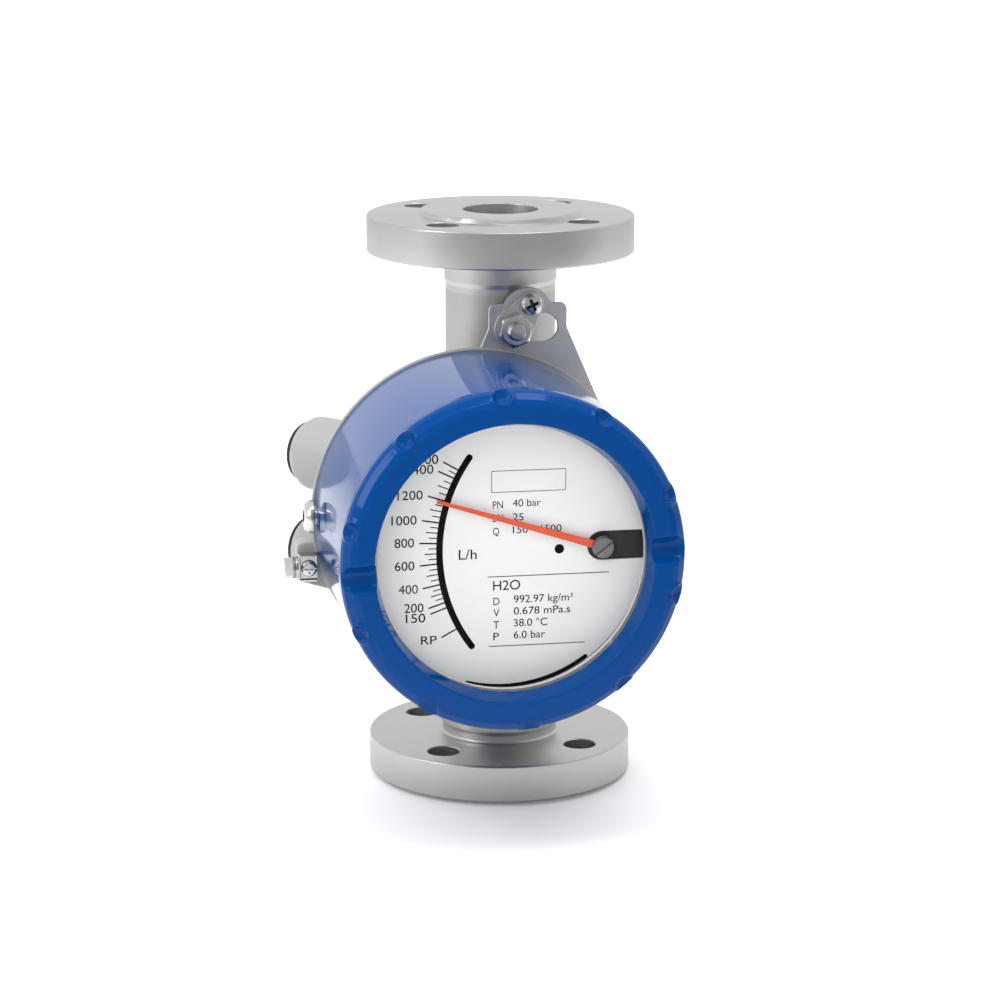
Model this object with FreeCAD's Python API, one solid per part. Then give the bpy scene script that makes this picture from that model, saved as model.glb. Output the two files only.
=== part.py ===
"""Metal-tube rotameter with flanged ends and a round, screw-on indicator head.

Millimetres, +Z up the flow axis, dial facing -Y. The origin is the centre of the lower
flange's sealing face. Each physical piece is written to parts/NAME.step.
"""

import FreeCAD, Part
import math
import os

V = FreeCAD.Vector

# Process connections: steel flanges, nominal bore 25, pressure class 40
face_to_face = 250.0
flange_diameter = 115.0
flange_bolt_circle = 85.0
flange_bolt_hole = 14.0
flange_bolts = 4
flange_disc = 16.0
flange_chamfer = 1.0
sealing_face_diameter = 68.0
sealing_face_height = 2.0
flow_bore = 32.4
neck_length = 16.0
neck_step = 0.45
neck_root_step = 0.9
weld_bead_swell = 2.0
weld_bead_height = 8.0
weld_bead_start = 4.0
neck_taper_start = 4.5
neck_taper_end = 2.5

# Metering tube with its tapered bore, and the float's guide
pipe_diameter = 47.4
pipe_wall = 3.2
cone_below_middle = 49.0
cone_above_middle = 25.0
cone_top_step = 2.5
metering_gap = 0.5
star_ledge = 24.0
star_thickness = 6.0
star_seat_step = 1.5
star_gap = 0.05
star_hub_diameter = 11.0
star_hub_lift = 3.0
star_arm_width = 2.4
star_arms = 3
snap_ring_thickness = 1.2
snap_ring_width = 2.4
snap_ring_groove = 1.0
snap_ring_gap = 0.1
snap_ring_opening = 40.0
rod_diameter = 5.0
rod_gap = 0.06
rod_nut_flats = 8.0
rod_nut_height = 2.7
stop_sleeve_diameter = 9.0

# Float with its sealed ring magnet
float_edge_diameter = 25.6
float_nose_diameter = 8.0
float_nose_length = 12.0
float_edge_height = 1.6
float_body_diameter = 20.0
float_wall = 1.2
float_sleeve_wall = 2.2
float_magnet_length = 24.0
float_magnet_gap = 0.1
float_cap_height = 3.0
float_cap_chamfer = 1.0
float_down = 38.3
float_up = 11.7
float_stop_gap = 0.4

# Indicator head: its axis, casting and screw-on cover
head_x = -16.5
bracket_stand_off = 1.85
bracket_thickness = 2.0
base_rim_overhang = 0.6
base_rim_thickness = 3.0
base_wall = 4.0
thread_diameter = 132.0
thread_gap = 0.3
thread_length = 19.0
thread_ring_wall = 5.0
cover_gap = 0.3
cover_skirt_wall = 3.7
cover_draft = 0.7
cover_ring_swell = 0.3
cover_ring_length = 4.0
cover_ring_step = 0.7
cover_shoulder = 6.0
cover_shoulder_round = 1.4
cover_length = 93.7
cover_seat_slope = 3.0
cover_mouth_chamfer = 1.6
window_lip_depth = 9.0
window_lip = 5.1
window_rim_splay = 2.3
dimple_count = 10
dimple_diameter = 7.8
dimple_depth = 1.2
groove_radius = 5.2
face_turn = 4.75

# Window
glass_seat_wall = 6.0
glass_thickness = 4.0
glass_gap = 0.3
window_seal_thickness = 0.8
window_seal_width = 4.5
retainer_width = 4.5
retainer_thickness = 3.0

# Cover lock screw
lock_screw_diameter = 8.0
lock_head_diameter = 14.0
lock_head_height = 4.4
lock_head_edge = 1.8
lock_seat_gap = 0.7
lock_socket_flats = 5.0
lock_socket_depth = 2.6
lock_inset = 7.2
lock_tip_gap = 0.1
lock_angle = 178.0

# Cover seal ring
seal_section = 1.0
seal_gap = 0.05

# Cable bosses on the rear of the casting
boss_diameter = 32.0
boss_nose_diameter = 27.0
boss_nose_length = 4.0
boss_end_inset = 4.3
boss_end_reach = 32.4
boss_rise = 21.0
boss_angle = 50.0
boss_thread_diameter = 20.0
boss_thread_length = 14.0
boss_passage_diameter = 16.0
boss_web_inset = 7.1
boss_web_depth = 26.0
boss_web_half_height = 20.0
boss_web_round = 8.0
boss_web_run = 30.0
plug_head_diameter = 26.0
plug_head_height = 1.4
plug_socket_flats = 8.0
plug_socket_depth = 6.0
plug_thread_short = 4.0
plug_seal_thickness = 0.8
plug_seal_diameter = 25.0
thread_clearance = 0.05

# Earth terminal at the left of the casting
earth_lug_depth = 10.0
earth_lug_side = 4.4
earth_lug_top = 9.5
earth_lug_bottom = 6.8
earth_lug_round = 2.0
earth_lug_flare_top = 14.0
earth_lug_flare_bottom = 22.0
earth_lug_knee_run = 12.0
earth_lug_knee_drop = 12.0
earth_overhang = 1.5
earth_drop = 21.2
earth_block_width = 7.0
earth_block_height = 9.0
earth_block_depth = 5.4
earth_clamp_wall = 1.0
earth_clamp_depth = 6.6
earth_clamp_gap = 0.2
earth_clamp_bend = 0.2
earth_pocket_gap = 0.4
earth_screw_diameter = 4.0
earth_screw_head = 6.8
earth_screw_head_height = 2.0
earth_screw_reach = 6.0
earth_bolt_diameter = 5.0
earth_bolt_flats = 8.0
earth_bolt_head_height = 3.6
earth_washer_diameter = 10.0
earth_washer_thickness = 1.0
earth_spring_washer_diameter = 9.2
earth_spring_washer_thickness = 1.2
earth_spring_washer_split = 1.0
earth_washer_gap = 0.2
earth_bolt_end_gap = 0.1

# Mounting bracket between tube and head
bracket_x = 6.4
bracket_arch_radius = 11.0
bracket_arch_rise = 6.1
bracket_shoulder_rise = 10.5
bracket_shoulder_half_width = 16.8
bracket_shoulder_round = 3.0
bracket_skirt_edge = 12.4
bracket_skirt_rise = 33.0
bracket_skirt_round = 12.0
bracket_slot_length = 25.8
bracket_slot_width = 12.2
stud_diameter = 8.0
stud_shoulder_diameter = 14.0
stud_reach = 11.0
stud_nut_flats = 13.0
stud_nut_height = 6.5
tab_thickness = 1.5
tab_big_radius = 8.3
tab_small_radius = 5.4
tab_rim_gap = 1.12
tab_screw_x = 7.6
tab_screw_rise = 10.3
tab_screw_diameter = 5.0
tab_screw_head = 9.5
tab_screw_head_height = 3.6
tab_screw_tail = 2.0
fastener_gap = 0.1
bracket_screw_inset = 37.0
bracket_screw_spread_z = 30.0
bracket_screw_diameter = 5.0
bracket_screw_flats = 8.0
bracket_screw_head_height = 3.5
bracket_screw_reach = 8.0
bracket_pad_diameter = 13.0
bracket_pad_height = 7.0

# Dial, pointer and the mechanism behind them
dial_behind_glass = 12.2
dial_thickness = 1.0
dial_margin = 0.5
dial_slot_width = 12.2
holder_side_gap = 7.3
holder_thickness = 3.0
pillar_inset = 15.0
pillar_diameter = 8.0
pillar_angles = (65.0, 145.0, 215.0, 295.0)
pillar_screw_diameter = 4.0
pivot_inset = 18.3
pointer_tip_inset = 26.8
pointer_root_width = 3.4
pointer_tip_width = 0.7
pointer_thickness = 0.5
pointer_lift = 2.2
pointer_eye_diameter = 8.4
pointer_angle = 17.5
pointer_sweep = 60.0
hub_diameter = 9.3
hub_height = 1.8
collar_diameter = 5.0
collar_dial_gap = 0.2
shaft_diameter = 2.0
shaft_gap = 0.05
bearing_diameter = 6.0
bearing_length = 4.0
bearing_flange_diameter = 8.0
bearing_flange_thickness = 1.0
mechanism_plate_thickness = 2.0
mechanism_plate_width = 20.0
mechanism_wall_gap = 16.0
mechanism_leg_reach = 22.0
mechanism_foot = 9.0
mechanism_screw_diameter = 3.0
mechanism_screw_head = 5.5
mechanism_screw_head_height = 2.0
mechanism_screw_reach = 2.0
follower_arm_width = 5.0
follower_arm_thickness = 1.5
follower_arm_reach = 21.0
follower_magnet_length = 14.0
follower_magnet_diameter = 6.0
follower_hub_diameter = 8.0
follower_hub_front = 1.0
follower_hub_back = 3.0
shaft_rear_reach = 1.5
follower_gap = 0.6
counterweight_diameter = 10.0
counterweight_length = 4.0
counterweight_reach = 14.0
brake_disc_diameter = 30.0
brake_disc_thickness = 1.0
brake_disc_behind_holder = 25.0
brake_hub_diameter = 7.0
brake_hub_length = 6.0
brake_gap = 1.0
brake_magnet_width = 10.0
brake_magnet_half_depth = 8.0
brake_overlap = 6.0
brake_tip_gap = 1.2

# Tube and flanges: what follows from the sizes above
mid_height = face_to_face / 2
flange_back = sealing_face_height + flange_disc
neck_top = flange_back + neck_length
neck_radius = pipe_diameter / 2 + neck_step
bead_radius = neck_radius + weld_bead_swell
pipe_bore = pipe_diameter - 2 * pipe_wall
star_seat_diameter = pipe_bore - 2 * star_seat_step
cone_bottom = mid_height - cone_below_middle
cone_top = mid_height + cone_above_middle
cone_bore_bottom = float_edge_diameter + 2 * metering_gap
cone_bore_top = pipe_bore - 2 * cone_top_step
star_bottom = star_ledge
star_top = star_ledge + star_thickness
hub_bottom = star_bottom + star_hub_lift
hub_top = hub_bottom + star_thickness
rod_radius = rod_diameter / 2
rod_hole = rod_radius + rod_gap

# Head diameters, from the casting's thread outwards and inwards
head_z = mid_height
cover_bore = thread_diameter + 2 * thread_gap
cover_rear_diameter = cover_bore + 2 * cover_skirt_wall
cover_waist_diameter = cover_rear_diameter - 2 * cover_draft
cover_ring_diameter = cover_rear_diameter + 2 * cover_ring_swell
base_rim_diameter = cover_rear_diameter + 2 * base_rim_overhang
glass_diameter = cover_bore - 2 * glass_seat_wall - 2 * glass_gap
window_opening = glass_diameter - 2 * window_lip
window_rim_opening = window_opening + 2 * window_rim_splay
retainer_opening = glass_diameter - 2 * retainer_width
holder_diameter = cover_bore - 2 * holder_side_gap
dial_diameter = holder_diameter - 2 * dial_margin
pillar_circle = holder_diameter - 2 * pillar_inset
pivot_x = head_x + dial_diameter / 2 - pivot_inset
pivot_z = head_z
pointer_length = dial_diameter - pivot_inset - pointer_tip_inset

# Head depths, from the bracket forwards
bracket_back = -bead_radius - bracket_stand_off
bracket_front = bracket_back - bracket_thickness
rim_front = bracket_front - base_rim_thickness
wall_front = bracket_front - base_wall
thread_front = rim_front - thread_length
cover_rear = rim_front - cover_gap
cover_front = cover_rear - cover_length
window_ledge = cover_front + window_lip_depth
glass_front = window_ledge + window_seal_thickness
glass_back = glass_front + glass_thickness
retainer_back = glass_back + retainer_thickness
dial_front = glass_back + dial_behind_glass
dial_back = dial_front + dial_thickness
holder_back = dial_back + holder_thickness
pointer_back = dial_front - pointer_lift
pointer_front = pointer_back - pointer_thickness
mechanism_rear = wall_front - mechanism_wall_gap
brake_disc_y = holder_back + brake_disc_behind_holder
lock_y = cover_rear - lock_inset

# Bracket, studs, bosses and earth terminal, placed round the casting's rim
rim_radius = base_rim_diameter / 2
stud_z = head_z + math.sqrt((rim_radius + tab_rim_gap + tab_big_radius) ** 2 - head_x ** 2)
stud_end = bracket_front - stud_reach
bracket_arch_z = stud_z + bracket_arch_rise
bracket_shoulder_z = stud_z + bracket_shoulder_rise
bracket_skirt_z = head_z + bracket_skirt_rise
bracket_screw_spread_x = thread_diameter / 2 - thread_ring_wall - bracket_screw_inset
bracket_skirt_half_width = bracket_screw_spread_x + bracket_skirt_edge
tab_screw_z = stud_z + tab_screw_rise
boss_end_x = head_x - rim_radius + boss_end_inset
boss_end_y = bracket_front + boss_end_reach
earth_x = head_x - rim_radius - earth_overhang
earth_z = head_z - earth_drop
earth_face = bracket_front

# Float, set so that its place in its travel matches the pointer's place in its sweep
float_travel = float_down + float_up
float_magnet_z = head_z + pointer_angle / pointer_sweep * float_travel
float_body_bottom = float_magnet_z - float_magnet_length / 2 - float_wall
float_body_top = float_magnet_z + float_magnet_length / 2 + float_magnet_gap
float_top = float_body_top + float_cap_height
float_bottom = float_body_bottom - float_edge_height - float_nose_length
sleeve_low_top = float_bottom - float_down - float_stop_gap
sleeve_high_bottom = float_top + float_up + float_stop_gap


# ---------------------------------------------------------------- shape helpers
def rounded_wire(corners):
    """Closed wire through (point, radius) corners; a radius above zero rounds the corner."""
    edges = []
    starts = []
    ends = []
    count = len(corners)
    for i, (point, radius) in enumerate(corners):
        before = (corners[i - 1][0] - point).normalize()
        after = (corners[(i + 1) % count][0] - point).normalize()
        if radius <= 0:
            starts.append(point)
            ends.append(point)
            continue
        half = before.getAngle(after) / 2
        reach = radius / math.tan(half)
        middle = (before + after).normalize()
        top = point + middle * (radius / math.sin(half) - radius)
        starts.append(point + before * reach)
        ends.append(point + after * reach)
        edges.append(Part.Arc(starts[-1], top, ends[-1]).toShape())
    for i in range(count):
        start = ends[i]
        end = starts[(i + 1) % count]
        if start.distanceToPoint(end) > 1e-6:
            edges.append(Part.LineSegment(start, end).toShape())
    return Part.Wire(Part.__sortEdges__(edges))


def corners_of(points, place):
    """Corners for rounded_wire from (a, b) or (a, b, radius) points."""
    return [(place(p[0], p[1]), p[2] if len(p) > 2 else 0.0) for p in points]


def turned_on_flow_axis(points):
    """Solid turned about Z from (radius, z) points."""
    wire = rounded_wire(corners_of(points, lambda r, z: V(r, 0, z)))
    return Part.Face(wire).revolve(V(0, 0, 0), V(0, 0, 1), 360)


def turned_on_y(points, x, z):
    """Solid turned about the line along Y through (x, z), from (radius, y) points."""
    wire = rounded_wire(corners_of(points, lambda r, y: V(x + r, y, z)))
    return Part.Face(wire).revolve(V(x, 0, z), V(0, 1, 0), 360)


def flat_plate(points, front, back):
    """Plate standing in XZ, from its (x, z) outline, between two y values."""
    wire = rounded_wire(corners_of(points, lambda x, z: V(x, front, z)))
    return Part.Face(wire).extrude(V(0, back - front, 0))


def rod_between(diameter, start, end):
    """Round rod between two points."""
    line = end - start
    return Part.makeCylinder(diameter / 2, line.Length, start, line)


def ring_between(outer, inner, start, end):
    """Round sleeve between two points."""
    return rod_between(outer, start, end).cut(rod_between(inner, start, end))


def hexagon_between(flats, start, end, turn=0.0):
    """Hexagonal bar between two points; turn spins it about its own line."""
    line = end - start
    corner = flats / math.sqrt(3)
    points = []
    for i in range(7):
        angle = math.radians(60 * (i % 6) + turn)
        points.append(V(corner * math.cos(angle), corner * math.sin(angle), 0))
    bar = Part.Face(Part.makePolygon(points)).extrude(V(0, 0, line.Length))
    bar.Placement = FreeCAD.Placement(start, FreeCAD.Rotation(V(0, 0, 1), line))
    return bar


def box_between(low, high):
    """Box with opposite corners low and high."""
    size = high - low
    return Part.makeBox(size.x, size.y, size.z, low)


def turned_copies(shape, count, centre, axis, first=0.0):
    """Copies of a shape spaced evenly round an axis."""
    copies = []
    for i in range(count):
        copy = shape.copy()
        copy.rotate(centre, axis, first + 360.0 * i / count)
        copies.append(copy)
    return copies


def joined(shapes):
    """One clean solid from touching or overlapping shapes."""
    first = shapes[0]
    return first.fuse(shapes[1:]).removeSplitter()


def mirrored_end(shape):
    """The same piece at the other end of the tube."""
    return shape.mirror(V(0, 0, mid_height), V(0, 0, 1))


def head_point(radius, angle, y):
    """Point at a radius and angle round the indicator head's axis."""
    turn = math.radians(angle)
    return V(head_x + radius * math.cos(turn), y, head_z + radius * math.sin(turn))


def oblong(x, z, length, width, front, back):
    """Round-ended slot cutter, long along X."""
    reach = (length - width) / 2
    left = V(x - reach, front, z)
    right = V(x + reach, front, z)
    depth = V(0, back - front, 0)
    ends = [rod_between(width, left, left + depth), rod_between(width, right, right + depth)]
    middle = box_between(V(x - reach, front, z - width / 2), V(x + reach, back, z + width / 2))
    return joined([middle] + ends)


# ---------------------------------------------------------------- tube and flanges
def flange_disc_points():
    """Sealing face, disc and chamfers up to the back of the flange, as (radius, z)."""
    outer = flange_diameter / 2
    return [
        (flow_bore / 2, 0),
        (sealing_face_diameter / 2, 0),
        (sealing_face_diameter / 2 + sealing_face_height / 2, sealing_face_height),
        (outer - flange_chamfer, sealing_face_height),
        (outer, sealing_face_height + flange_chamfer),
        (outer, flange_back - flange_chamfer),
        (outer - flange_chamfer, flange_back),
    ]


def flange_inner_points():
    """Star seat, snap ring groove and bore, from the neck's end back to the face."""
    seat = star_seat_diameter / 2
    groove_low = star_top + snap_ring_gap
    groove_high = groove_low + snap_ring_thickness + 2 * snap_ring_gap
    return [
        (seat, neck_top),
        (seat, groove_high),
        (seat + snap_ring_groove, groove_high),
        (seat + snap_ring_groove, groove_low),
        (seat, groove_low),
        (seat, star_ledge),
        (flow_bore / 2, star_ledge),
    ]


def drilled(flange):
    """The flange with its bolt holes, set astride the front centre line."""
    start = V(flange_bolt_circle / 2, 0, 0)
    hole = rod_between(flange_bolt_hole, start, start + V(0, 0, flange_back + 1))
    first = 180.0 / flange_bolts
    return flange.cut(turned_copies(hole, flange_bolts, V(0, 0, 0), V(0, 0, 1), first))


def make_inlet_flange():
    """Lower flange: its neck ends in a rounded weld bead under the tube."""
    bead_low = flange_back + weld_bead_start
    bead_high = bead_low + weld_bead_height
    root = neck_radius + neck_root_step
    outline = [
        (root, flange_back),
        (root, bead_low - weld_bead_swell / 3),
        (bead_radius, bead_low + weld_bead_swell / 3),
        (bead_radius, bead_high - 1.5 * weld_bead_swell),
        (pipe_diameter / 2, bead_high),
        (pipe_diameter / 2, neck_top),
    ]
    points = flange_disc_points() + outline + flange_inner_points()
    return drilled(turned_on_flow_axis(points))


def make_outlet_flange():
    """Upper flange: a plain neck that steps down to the tube at the weld."""
    outline = [
        (neck_radius, flange_back),
        (neck_radius, neck_top - neck_taper_start),
        (pipe_diameter / 2, neck_top - neck_taper_end),
        (pipe_diameter / 2, neck_top),
    ]
    points = flange_disc_points() + outline + flange_inner_points()
    return mirrored_end(drilled(turned_on_flow_axis(points)))


def make_metering_tube():
    """Tube between the necks: its bore widens upwards past the float's metering edge."""
    low = neck_top
    high = face_to_face - neck_top
    return turned_on_flow_axis([
        (pipe_bore / 2, low),
        (pipe_diameter / 2, low),
        (pipe_diameter / 2, high),
        (pipe_bore / 2, high),
        (pipe_bore / 2, cone_top + (pipe_bore - cone_bore_top) / 2),
        (cone_bore_top / 2, cone_top),
        (cone_bore_bottom / 2, cone_bottom),
        (pipe_bore / 2, cone_bottom - (pipe_bore - cone_bore_bottom) / 2),
    ])


def make_lower_guide_star():
    """Three-armed spider that centres the guide rod in the flow."""
    outer = star_seat_diameter / 2 - star_gap
    hub = rod_between(star_hub_diameter, V(0, 0, hub_bottom), V(0, 0, hub_top))
    arm = box_between(V(0, -star_arm_width / 2, star_bottom), V(2 * outer, star_arm_width / 2, star_top))
    arms = turned_copies(arm, star_arms, V(0, 0, 0), V(0, 0, 1), 90)
    star = joined([hub] + arms)
    hole = rod_between(2 * rod_hole, V(0, 0, 0), V(0, 0, hub_top + 1))
    nut_room = rod_between(star_hub_diameter + 1, V(0, 0, 0), V(0, 0, hub_bottom))
    return star.cut([hole, nut_room]).common(rod_between(2 * outer, V(0, 0, 0), V(0, 0, hub_top)))


def make_snap_rings():
    """Split spring rings that hold the guide stars on their ledges."""
    outer = star_seat_diameter / 2 + snap_ring_groove - snap_ring_gap
    low = star_top + 2 * snap_ring_gap
    low_point = V(0, 0, low)
    high_point = V(0, 0, low + snap_ring_thickness)
    ring = ring_between(2 * outer, 2 * (outer - snap_ring_width), low_point, high_point)
    half = outer * math.tan(math.radians(snap_ring_opening / 2))
    corners = [V(0, 0, low), V(2 * outer, -2 * half, low), V(2 * outer, 2 * half, low), V(0, 0, low)]
    ring = ring.cut(Part.Face(Part.makePolygon(corners)).extrude(V(0, 0, snap_ring_thickness)))
    return Part.makeCompound([ring, mirrored_end(ring)])


def make_guide_rod():
    """Rod the float slides on, held in both guide stars."""
    return rod_between(rod_diameter, V(0, 0, star_ledge), V(0, 0, face_to_face - star_ledge))


def make_rod_nuts():
    """Thin nut under the lower star's hub and its twin above the upper one."""
    low = V(0, 0, hub_bottom - rod_nut_height)
    nut = hexagon_between(rod_nut_flats, low, V(0, 0, hub_bottom))
    nut = nut.cut(rod_between(2 * (rod_radius + thread_clearance), V(0, 0, 0), V(0, 0, hub_top)))
    return Part.makeCompound([nut, mirrored_end(nut)])


def make_stop_sleeve(low, high):
    """Spacer tube on the guide rod that stops the float."""
    return ring_between(stop_sleeve_diameter, 2 * rod_hole, V(0, 0, low), V(0, 0, high))


# ---------------------------------------------------------------- float
def float_pocket():
    """Inner and outer radius of the magnet's pocket."""
    inner = rod_hole + float_sleeve_wall
    outer = float_body_diameter / 2 - float_wall
    return inner, outer


def make_float_body():
    """Turned float: cone nose, metering edge and the can round the magnet."""
    inner, outer = float_pocket()
    edge_top = float_body_bottom
    edge_bottom = edge_top - float_edge_height
    floor = float_magnet_z - float_magnet_length / 2
    return turned_on_flow_axis([
        (rod_hole, float_bottom),
        (float_nose_diameter / 2, float_bottom),
        (float_edge_diameter / 2, edge_bottom),
        (float_edge_diameter / 2, edge_top),
        (float_body_diameter / 2, edge_top),
        (float_body_diameter / 2, float_body_top),
        (outer, float_body_top),
        (outer, floor),
        (inner, floor),
        (inner, float_body_top),
        (rod_hole, float_body_top),
    ])


def make_float_magnet():
    """Ring magnet sealed in the float."""
    inner, outer = float_pocket()
    low = float_magnet_z - float_magnet_length / 2
    outer_diameter = 2 * (outer - float_magnet_gap)
    inner_diameter = 2 * (inner + float_magnet_gap)
    return ring_between(outer_diameter, inner_diameter, V(0, 0, low), V(0, 0, low + float_magnet_length))


def make_float_cap():
    """Welded lid over the magnet."""
    return turned_on_flow_axis([
        (rod_hole, float_body_top),
        (float_body_diameter / 2, float_body_top),
        (float_body_diameter / 2, float_top - float_cap_chamfer),
        (float_body_diameter / 2 - float_cap_chamfer, float_top),
        (rod_hole, float_top),
    ])


# ---------------------------------------------------------------- bracket and studs
def make_tube_studs():
    """Two shouldered studs welded on the tube's front, cut to sit on its curve."""
    pipe = rod_between(pipe_diameter, V(0, 0, 0), V(0, 0, face_to_face))
    neck = rod_between(2 * neck_radius, V(0, 0, face_to_face - neck_top), V(0, 0, face_to_face))
    shoulder = rod_between(stud_shoulder_diameter, V(0, 0, stud_z), V(0, bracket_back, stud_z))
    thread = rod_between(stud_diameter, V(0, 0, stud_z), V(0, stud_end, stud_z))
    stud = joined([shoulder, thread]).cut([pipe, neck])
    return Part.makeCompound([stud, mirrored_end(stud)])


def bracket_outline():
    """The bracket without its arches, as (x, z) points from the upper right round."""
    shoulder = bracket_shoulder_half_width
    skirt = bracket_skirt_half_width
    upper = [
        (skirt, bracket_skirt_z, bracket_skirt_round),
        (shoulder, stud_z, bracket_shoulder_round),
        (shoulder, bracket_shoulder_z, bracket_shoulder_round),
        (-shoulder, bracket_shoulder_z, bracket_shoulder_round),
        (-shoulder, stud_z, bracket_shoulder_round),
        (-skirt, bracket_skirt_z, bracket_skirt_round),
    ]
    lower = [(x, face_to_face - z, r) for x, z, r in reversed(upper)]
    return [(bracket_x + x, z, r) for x, z, r in upper + lower]


def bracket_screw_places():
    """(x, z) of the four screws that hold the casting to the bracket."""
    places = []
    for sx in (-1, 1):
        for sz in (-1, 1):
            places.append((bracket_x + sx * bracket_screw_spread_x, head_z + sz * bracket_screw_spread_z))
    return places


def make_mounting_bracket():
    """Stamped plate: slotted ears above and below, and the head screwed to its middle."""
    arches = []
    for z in (bracket_arch_z, face_to_face - bracket_arch_z):
        middle = V(bracket_x, bracket_front, z)
        arches.append(rod_between(2 * bracket_arch_radius, middle, middle + V(0, bracket_thickness, 0)))
    plate = joined([flat_plate(bracket_outline(), bracket_front, bracket_back)] + arches)
    cutters = []
    for z in (stud_z, face_to_face - stud_z):
        cutters.append(oblong(bracket_x, z, bracket_slot_length, bracket_slot_width,
                              bracket_front - 1, bracket_back + 1))
    hole = tab_screw_diameter + 2 * thread_clearance
    for z in (tab_screw_z, face_to_face - tab_screw_z):
        cutters.append(rod_between(hole, V(tab_screw_x, bracket_front - 1, z), V(tab_screw_x, 0, z)))
    hole = bracket_screw_diameter + 2 * fastener_gap
    for x, z in bracket_screw_places():
        cutters.append(rod_between(hole, V(x, bracket_front - 1, z), V(x, 0, z)))
    return plate.cut(cutters)


def make_tab_washers():
    """Teardrop washers: the stud passes the round end, the small screw the point."""
    front = bracket_front - tab_thickness
    big = rod_between(2 * tab_big_radius, V(0, front, stud_z), V(0, bracket_front, stud_z))
    small_start = V(tab_screw_x, front, tab_screw_z)
    small_end = V(tab_screw_x, bracket_front, tab_screw_z)
    small = rod_between(2 * tab_small_radius, small_start, small_end)
    dx = tab_screw_x
    dz = tab_screw_z - stud_z
    span = math.hypot(dx, dz)
    aim = math.atan2(dz, dx)
    lean = math.acos((tab_big_radius - tab_small_radius) / span)
    sides = []
    for side in (1, -1):
        angle = aim + side * lean
        out = (math.cos(angle), math.sin(angle))
        sides.append((tab_big_radius * out[0], stud_z + tab_big_radius * out[1]))
        sides.append((dx + tab_small_radius * out[0], tab_screw_z + tab_small_radius * out[1]))
    web = flat_plate([sides[0], sides[1], sides[3], sides[2]], front, bracket_front)
    washer = joined([big, web, small])
    stud_hole = rod_between(stud_diameter + 2 * fastener_gap, V(0, front, stud_z), V(0, 0, stud_z))
    screw_hole = rod_between(tab_screw_diameter + 2 * fastener_gap, small_start, small_end)
    washer = washer.cut([stud_hole, screw_hole])
    return Part.makeCompound([washer, mirrored_end(washer)])


def make_stud_nuts():
    """Hexagon nuts on the studs."""
    back = bracket_front - tab_thickness
    start = V(0, back, stud_z)
    end = V(0, back - stud_nut_height, stud_z)
    nut = hexagon_between(stud_nut_flats, start, end, 20)
    nut = nut.cut(rod_between(stud_diameter + 2 * thread_clearance, start + V(0, 1, 0), end - V(0, 1, 0)))
    return Part.makeCompound([nut, mirrored_end(nut)])


def make_tab_screws():
    """Round-headed screws that pin the tab washers to the bracket."""
    seat = V(tab_screw_x, bracket_front - tab_thickness, tab_screw_z)
    head = rod_between(tab_screw_head, seat, seat - V(0, tab_screw_head_height, 0))
    tail = V(tab_screw_x, bracket_back + tab_screw_tail, tab_screw_z)
    screw = joined([head, rod_between(tab_screw_diameter, seat, tail)])
    return Part.makeCompound([screw, mirrored_end(screw)])


def make_bracket_screws():
    """Hexagon screws from behind the bracket into the casting's pads."""
    screws = []
    for x, z in bracket_screw_places():
        seat = V(x, bracket_back, z)
        head = hexagon_between(bracket_screw_flats, seat, seat + V(0, bracket_screw_head_height, 0))
        shank = rod_between(bracket_screw_diameter, seat, V(x, bracket_front - bracket_screw_reach, z))
        screws.append(joined([head, shank]))
    return Part.makeCompound(screws)


# ---------------------------------------------------------------- casting
def boss_direction():
    """Unit vector along a cable boss, out of its mouth."""
    turn = math.radians(boss_angle)
    return V(-math.cos(turn), math.sin(turn), 0)


def boss_mouth(side):
    """Centre of a boss's end face; side is 1 for the upper boss and -1 for the lower."""
    return V(boss_end_x, boss_end_y, head_z + side * boss_rise)


def boss_solid(side):
    """One cable boss as a bar that runs into the casting's wall."""
    mouth = boss_mouth(side)
    out = boss_direction()
    root = mouth - out * ((boss_end_y - bracket_front) / out.y + boss_diameter)
    shoulder = mouth - out * boss_nose_length
    body = rod_between(boss_diameter, root, shoulder)
    nose = Part.makeCone(boss_diameter / 2, boss_nose_diameter / 2, boss_nose_length, shoulder, out)
    return [body, nose]


def casting_web():
    """Rounded block that ties the two bosses together behind the wall."""
    half = boss_web_half_height
    rear = bracket_front + boss_web_depth
    left = head_x - rim_radius + boss_web_inset
    right = head_x - boss_web_run
    block = box_between(V(left, bracket_front, head_z - half), V(right, rear, head_z + half))
    upright = [e for e in block.Edges if e.BoundBox.ZLength > half and e.BoundBox.YMin > rear - 1]
    return block.makeFillet(boss_web_round, upright)


def casting_lug():
    """Flat-faced lug for the earth terminal at the casting's lower left."""
    left = earth_x - earth_lug_side
    right = head_x - boss_web_run
    points = [
        (left, earth_z + earth_lug_top, earth_lug_round),
        (right, earth_z + earth_lug_flare_top),
        (right, earth_z - earth_lug_flare_bottom),
        (earth_x + earth_lug_knee_run, earth_z - earth_lug_knee_drop),
        (left, earth_z - earth_lug_bottom, earth_lug_round),
    ]
    return flat_plate(points, earth_face, earth_face + earth_lug_depth)


def earth_pocket():
    """Room cut in the rim for the earth terminal."""
    half_width = earth_block_width / 2 + earth_pocket_gap
    half_height = earth_block_height / 2 + earth_clamp_gap + earth_clamp_wall + earth_pocket_gap
    low = V(earth_x - 3 * half_width, rim_front - 1, earth_z - half_height)
    return box_between(low, V(earth_x + half_width, earth_face, earth_z + half_height))


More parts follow.
